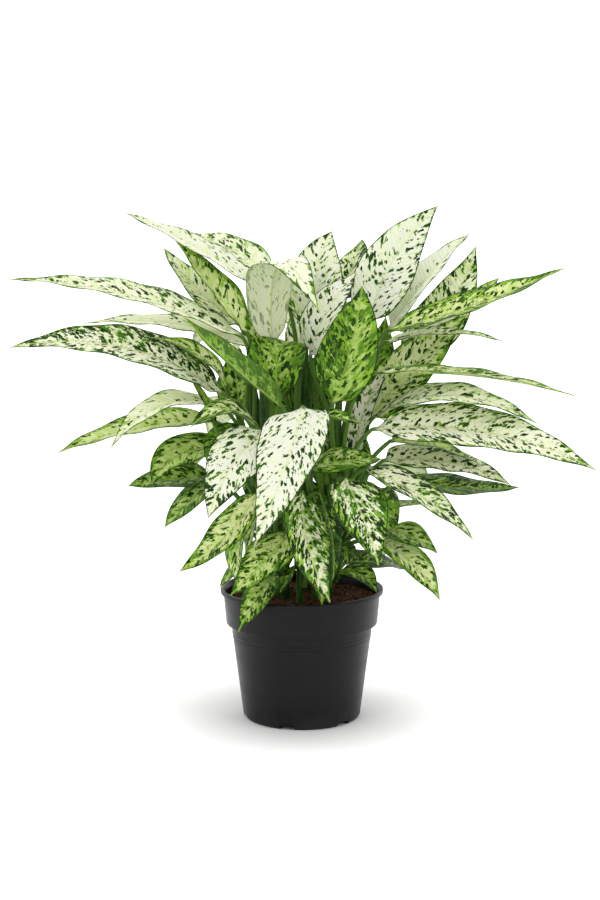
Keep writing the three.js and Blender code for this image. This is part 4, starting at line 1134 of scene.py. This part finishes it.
def bumps(x, y):
    """A height field from three pairs of crossed waves, from coarse to fine and from high to low."""
    coarse = np.sin(x / 9.1 + 1.3) * np.sin(y / 7.7)
    middling = np.sin(x / 3.9 + y / 5.3) * np.sin(y / 3.1 - x / 6.7)
    fine = np.sin(x / 1.9 + 2) * np.sin(y / 1.7)
    return coarse + 0.6 * middling + 0.35 * fine


def soil_top(x, y):
    """The crowned top: it falls from the middle with the square of the way out, with the bumps added."""
    share = np.clip(np.hypot(x, y) / SOIL_WALL, 0, 1)
    crowned = mix(SOIL["crown_z"], SOIL["wall_z"], share ** 2)
    return crowned - RELIEF["sunk"] + RELIEF["height"] * bumps(x, y)


def soil_skin():
    """Rings from the bottom up the wall and in over the top, whose heights follow the relief."""
    inset = POT["wall"] + SOIL["clearance"]
    floor = POT["floor"] + SOIL["clearance"]
    wall = [
        (POLE, floor), (POT["foot_radius"] - inset, floor),
        (POT["body_top_radius"] - inset, POT["collar_foot_z"] - POT["wall"]),
        (POT["collar_foot_radius"] - inset, POT["collar_foot_z"] + POT["wall"] + 2 * SOIL["clearance"]),
        (SOIL_WALL, SOIL["wall_z"] - RELIEF["covered"])]
    inner = [(radius, 0.0) for radius in np.linspace(SOIL_WALL, POLE, RELIEF["rings"])]
    rings = turned(np.array(wall + inner), np.radians(np.arange(0, 360, RELIEF["degrees"])))
    x, y = rings[len(wall):, :, 0], rings[len(wall):, :, 1]
    rings[len(wall):, :, 2] = soil_top(x, y)
    return skin(rings)


bed = soil_skin()
top_z = bed["points"][:, 2].max()
print("the soil's highest point is", round(POT["height"] - top_z, 1), "mm under the rim")

# %% [markdown]
# ## Crumbs and fibres
# Coir is the husk of coconuts, chopped: lumps of a millimetre or two with curled hairs between them. A
# particle system could strew them, but it would hide their places in its settings. Here a generator with a
# fixed seed draws each place, size and turn, whole arrays at a time, so each run gives the same soil.

# %% Soil crumbs and fibres
# lengths are in millimetres, turns in radians
CRUMBS = {
    "count": 700, "size": (0.6, 2.2), "rough": (0.7, 1.25), "raised": 0.35, "height": 0.7, "turn": 6,
    "sides": 6, "seed": 11}
FIBRES = {
    "count": 420, "length": (4.0, 16.0), "curl": (-1.8, 1.8), "lift": (0.2, 2.4), "raised": 0.25,
    "radius": 0.22, "thin_end": 0.4, "steps": 8, "sides": 5, "seed": 12}
# height and reach of a crumb's rings, as shares of its size
CRUMB_RINGS = np.array([[-0.9, 0.25], [-0.35, 0.9], [0.3, 1.0], [0.85, 0.35]])
SOIL_REACH = 74.0


def strewn(count, rng):
    """Places spread evenly over the soil: the radius goes with the root of an even draw."""
    radius = SOIL_REACH * np.sqrt(rng.random(count))
    turn = 2 * math.pi * rng.random(count)
    return radius * np.cos(turn), radius * np.sin(turn)


def crumb_skins():
    """Small lumps: four rings of six points, the middle ones wider. Each point's reach is the crumb's size
    times the ring's share and a chance factor, and each crumb is turned by chance."""
    rng = np.random.default_rng(CRUMBS["seed"])
    count, sides = CRUMBS["count"], CRUMBS["sides"]
    x, y = strewn(count, rng)
    size = rng.uniform(*CRUMBS["size"], count)
    turn = np.arange(sides) * 2 * math.pi / sides + rng.random(count)[:, None] * CRUMBS["turn"]
    rough = rng.uniform(*CRUMBS["rough"], (count, len(CRUMB_RINGS), sides))
    reach = size[:, None, None] * CRUMB_RINGS[None, :, 1, None] * rough
    ring_x = x[:, None, None] + reach * np.cos(turn)[:, None, :]
    ring_y = y[:, None, None] + reach * np.sin(turn)[:, None, :]
    middle = (soil_top(x, y) + size * CRUMBS["raised"])[:, None, None]
    ring_z = middle + size[:, None, None] * CRUMBS["height"] * CRUMB_RINGS[None, :, 0, None] + 0 * ring_x
    return [skin(each) for each in np.stack([ring_x, ring_y, ring_z], -1)]


def fibre_skins():
    """Curled hairs: the heading turns evenly along each one, so its line is an arc over the relief, lifted
    in the middle by a half wave. Five-sided rings follow the line and are thinner at both ends."""
    rng = np.random.default_rng(FIBRES["seed"])
    count, steps, sides = FIBRES["count"], FIBRES["steps"], FIBRES["sides"]
    x, y = strewn(count, rng)
    heading, curl = 2 * math.pi * rng.random(count), rng.uniform(*FIBRES["curl"], count)
    length, lift = rng.uniform(*FIBRES["length"], count), rng.uniform(*FIBRES["lift"], count)
    share = np.linspace(0, 1, steps)
    course = heading[:, None] + curl[:, None] * share
    step = length[:, None] / steps
    line_x = x[:, None] + np.cumsum(np.cos(course) * step, 1)
    line_y = y[:, None] + np.cumsum(np.sin(course) * step, 1)
    shrink = np.minimum(1, SOIL_REACH / np.maximum(np.hypot(line_x, line_y), 1e-6))
    line_x, line_y = line_x * shrink, line_y * shrink
    line_z = soil_top(line_x, line_y) + FIBRES["raised"] + lift[:, None] * np.sin(math.pi * share)
    centre = np.stack([line_x, line_y, line_z], -1)
    tangent = unit(np.gradient(centre, axis=1) + 1e-9)
    across = unit(np.cross(tangent, [0.0, 0.0, 1.0]) + 1e-9)
    over = np.cross(across, tangent)
    turn = -np.arange(sides) * 2 * math.pi / sides
    thickness = mix(FIBRES["thin_end"], 1, np.sin(math.pi * share))
    taper = FIBRES["radius"] * thickness[None, :, None, None]
    ring = across[:, :, None] * np.cos(turn)[:, None] + over[:, :, None] * np.sin(turn)[:, None]
    return [skin(each) for each in centre[:, :, None] + ring * taper]


print("points in a crumb:", len(CRUMB_RINGS) * CRUMBS["sides"])
print("points in a fibre:", FIBRES["steps"] * FIBRES["sides"])


# %% [markdown]
# ## The soil's finish
# Moist coir is a red brown and quite dull; between the lumps it is painted almost black, as painted shade in the
# hollows. The bed, the crumbs and the fibres share one material on the same coordinates, so a crumb takes
# the colour of the spot it lies on.

# %% Soil finish
COIR_BROWNS = {"hollow_shade": (0.024, 0.010, 0.006, 1), "red": (0.15, 0.055, 0.026, 1), "dry": (0.25, 0.11, 0.055, 1)}
# cells to a metre: of the lumps and of the paler, drier patches
LUMPS, DRY_PATCHES = 240.0, 55.0


def soil_finish():
    """Red-brown coir with paler patches and a rough grain, and painted shade: near black where the lumps' noise,
    the bump's height, is low.
    """
    made, tree, shader = material("coir_soil", specular_ior_level=0.2)
    place = object_place(tree)
    lumps = noise(tree, place, LUMPS, 4.0, 0.65)
    dry = ramp(tree, noise(tree, place, DRY_PATCHES, 3.0, 0.6), 0.5, 0.75, 0.0, 0.5)
    # painted shade: near black where the lumps' noise is low, in the hollows of the bump
    body = blend(tree, ramp(tree, lumps, 0.35, 0.65), COIR_BROWNS["hollow_shade"], COIR_BROWNS["red"])
    colour = blend(tree, dry, body, COIR_BROWNS["dry"])
    dress(tree, shader, colour, ramp(tree, lumps, 0.2, 0.8, 0.98, 0.8), lumps, 0.8, 0.001)
    return made


SOIL_FINISH = soil_finish()
piece("coir_bed", bed, SOIL_FINISH, ["soil"])
piece("coir_crumbs", together(crumb_skins()), SOIL_FINISH)
piece("coir_fibres", together(fibre_skins()), SOIL_FINISH)
print("crumbs:", CRUMBS["count"], " fibres:", FIBRES["count"])

# %% [markdown]
# ## The studio
# A pale sweep: floor and wall in one bent sheet, so that no edge shows behind the plant. Five soft lights
# stand round it. The strongest is low at the left side, the next high on the right; one hangs overhead, and
# two weak ones in front fill in, as the pale room does. A product shot has a floor that is burnt out to white
# but for a small shadow, so the paper is given painted light too: it glows from a little way off the pot
# outwards and more up the wall, so that only the shadow round the pot's foot stays.

# %% The sweep
# the studio is given in metres
SWEEP = {"front": -5.0, "flat": 2.2, "bend": 1.6, "half_width": 6.0, "top": 6.0, "steps": 24}
# painted light on the paper: where each part starts and where it is full, and its strength there, by the way off
# the pot and back
FLOOR_PAINTED_LIGHT = {"starts": 0.04, "full": 0.20, "strength": 0.42}
WALL_PAINTED_LIGHT = {"starts": 0.3, "full": 3.2, "strength": 0.55}


def sweep_paper():
    """White paper with painted light: its emission is a smooth step of the distance from the pot's foot, nought
    at the foot so that the shadow there stays, plus one of the distance back, as if the wall were lit from
    behind."""
    paper, tree, shader = material(
        "sweep_paper", base_color=(0.78, 0.78, 0.78, 1), roughness=0.9, specular_ior_level=0.1,
        emission_color=(1, 1, 1, 1))
    place = object_place(tree)
    radius = node(tree, "ShaderNodeVectorMath", operation="LENGTH")
    wire(tree, place, radius.inputs[0])
    # painted light: the floor glows from a little way off the pot's foot, and the wall glows more the further
    # back it is
    painted_lights = [
        ramp(tree, way, painted_light["starts"], painted_light["full"], 0.0, painted_light["strength"])
        for way, painted_light in ((radius.outputs["Value"], FLOOR_PAINTED_LIGHT), (parts(tree, place)[1], WALL_PAINTED_LIGHT))]
    wire(tree, maths(tree, "ADD", *painted_lights), shader.inputs["Emission Strength"])
    return paper


def sweep():
    """A sheet that lies flat, bends up in a quarter circle and stands as the wall behind."""
    turn = np.linspace(0, math.pi / 2, SWEEP["steps"])
    back = SWEEP["flat"] + SWEEP["bend"]
    line_y = np.concatenate([[SWEEP["front"]], SWEEP["flat"] + SWEEP["bend"] * np.sin(turn), [back]])
    line_z = np.concatenate([[0.0], SWEEP["bend"] * (1 - np.cos(turn)), [SWEEP["top"]]])
    points = [(x, y, z) for y, z in zip(line_y, line_z) for x in (-SWEEP["half_width"], SWEEP["half_width"])]
    faces = [(2 * i, 2 * i + 1, 2 * i + 3, 2 * i + 2) for i in range(len(line_y) - 1)]
    mesh = bpy.data.meshes.new("pale_sweep")
    mesh.from_pydata(points, [], faces)
    mesh.polygons.foreach_set("use_smooth", np.ones(len(faces), bool))
    mesh.materials.append(sweep_paper())
    put_in_scene("pale_sweep", mesh)


sweep()
print("the sweep's wall stands", round(SWEEP["flat"] + SWEEP["bend"], 1), "m behind the pot")

# %% Lights and the room
# name, place, what it is turned to, width in metres, watts
SOFTBOXES = [
    ("softbox_left", (-1.1, -1.8, 2.2), (0, 0, 0.25), 1.8, 6),
    ("softbox_side", (-1.8, -0.8, 0.6), (0, 0, 0.1), 2.2, 19),
    ("softbox_front", (0.2, -2.6, 1.3), (0, 0, 0.25), 1.6, 5),
    ("softbox_right", (1.9, -1.3, 1.7), (0, 0, 0.25), 1.6, 17),
    ("softbox_top", (0.3, 0.0, 2.4), (0, 0, 0.3), 2.0, 15),
]
ROOM = {"Color": (1, 1, 1, 1), "Strength": 0.62}


def soft_light(name, place, aim, size, power):
    """A square area light at a place, turned to what it lights."""
    lamp = bpy.data.lights.new(name, "AREA")
    lamp.shape, lamp.size, lamp.energy = "SQUARE", size, power
    made = put_in_scene(name, lamp)
    made.location = place
    made.rotation_euler = (Vector(aim) - Vector(place)).to_track_quat("-Z", "Y").to_euler()


for row in SOFTBOXES:
    soft_light(*row)
world = bpy.data.worlds.new("pale_room")
bpy.context.scene.world = world
world.use_nodes = True
for key, value in ROOM.items():
    world.node_tree.nodes["Background"].inputs[key].default_value = value
bpy.context.scene.view_settings.view_transform = "Standard"
print("lights:", len(SOFTBOXES))

# %% [markdown]
# ## The camera
# The photograph looks a little down on the pot: its rim shows as a flat ellipse. The height of that ellipse,
# and of the ones at the collar and the foot, say how far off and how high the eye stands, and the plant's
# size in the frame gives the lens.

# %% Camera
EYE = (-0.0019, -1.9, 0.56)
LOOKS_DOWN = 8.33
LENS, SENSOR = 74.22, 36

lens = bpy.data.cameras.new("camera")
lens.lens, lens.sensor_width = LENS, SENSOR
camera = put_in_scene("camera", lens)
camera.location = EYE
camera.rotation_euler = (math.radians(90 - LOOKS_DOWN), 0, 0)
bpy.context.scene.camera = camera
print("the eye stands", round(-EYE[1], 2), "m in front and", EYE[2], "m up")
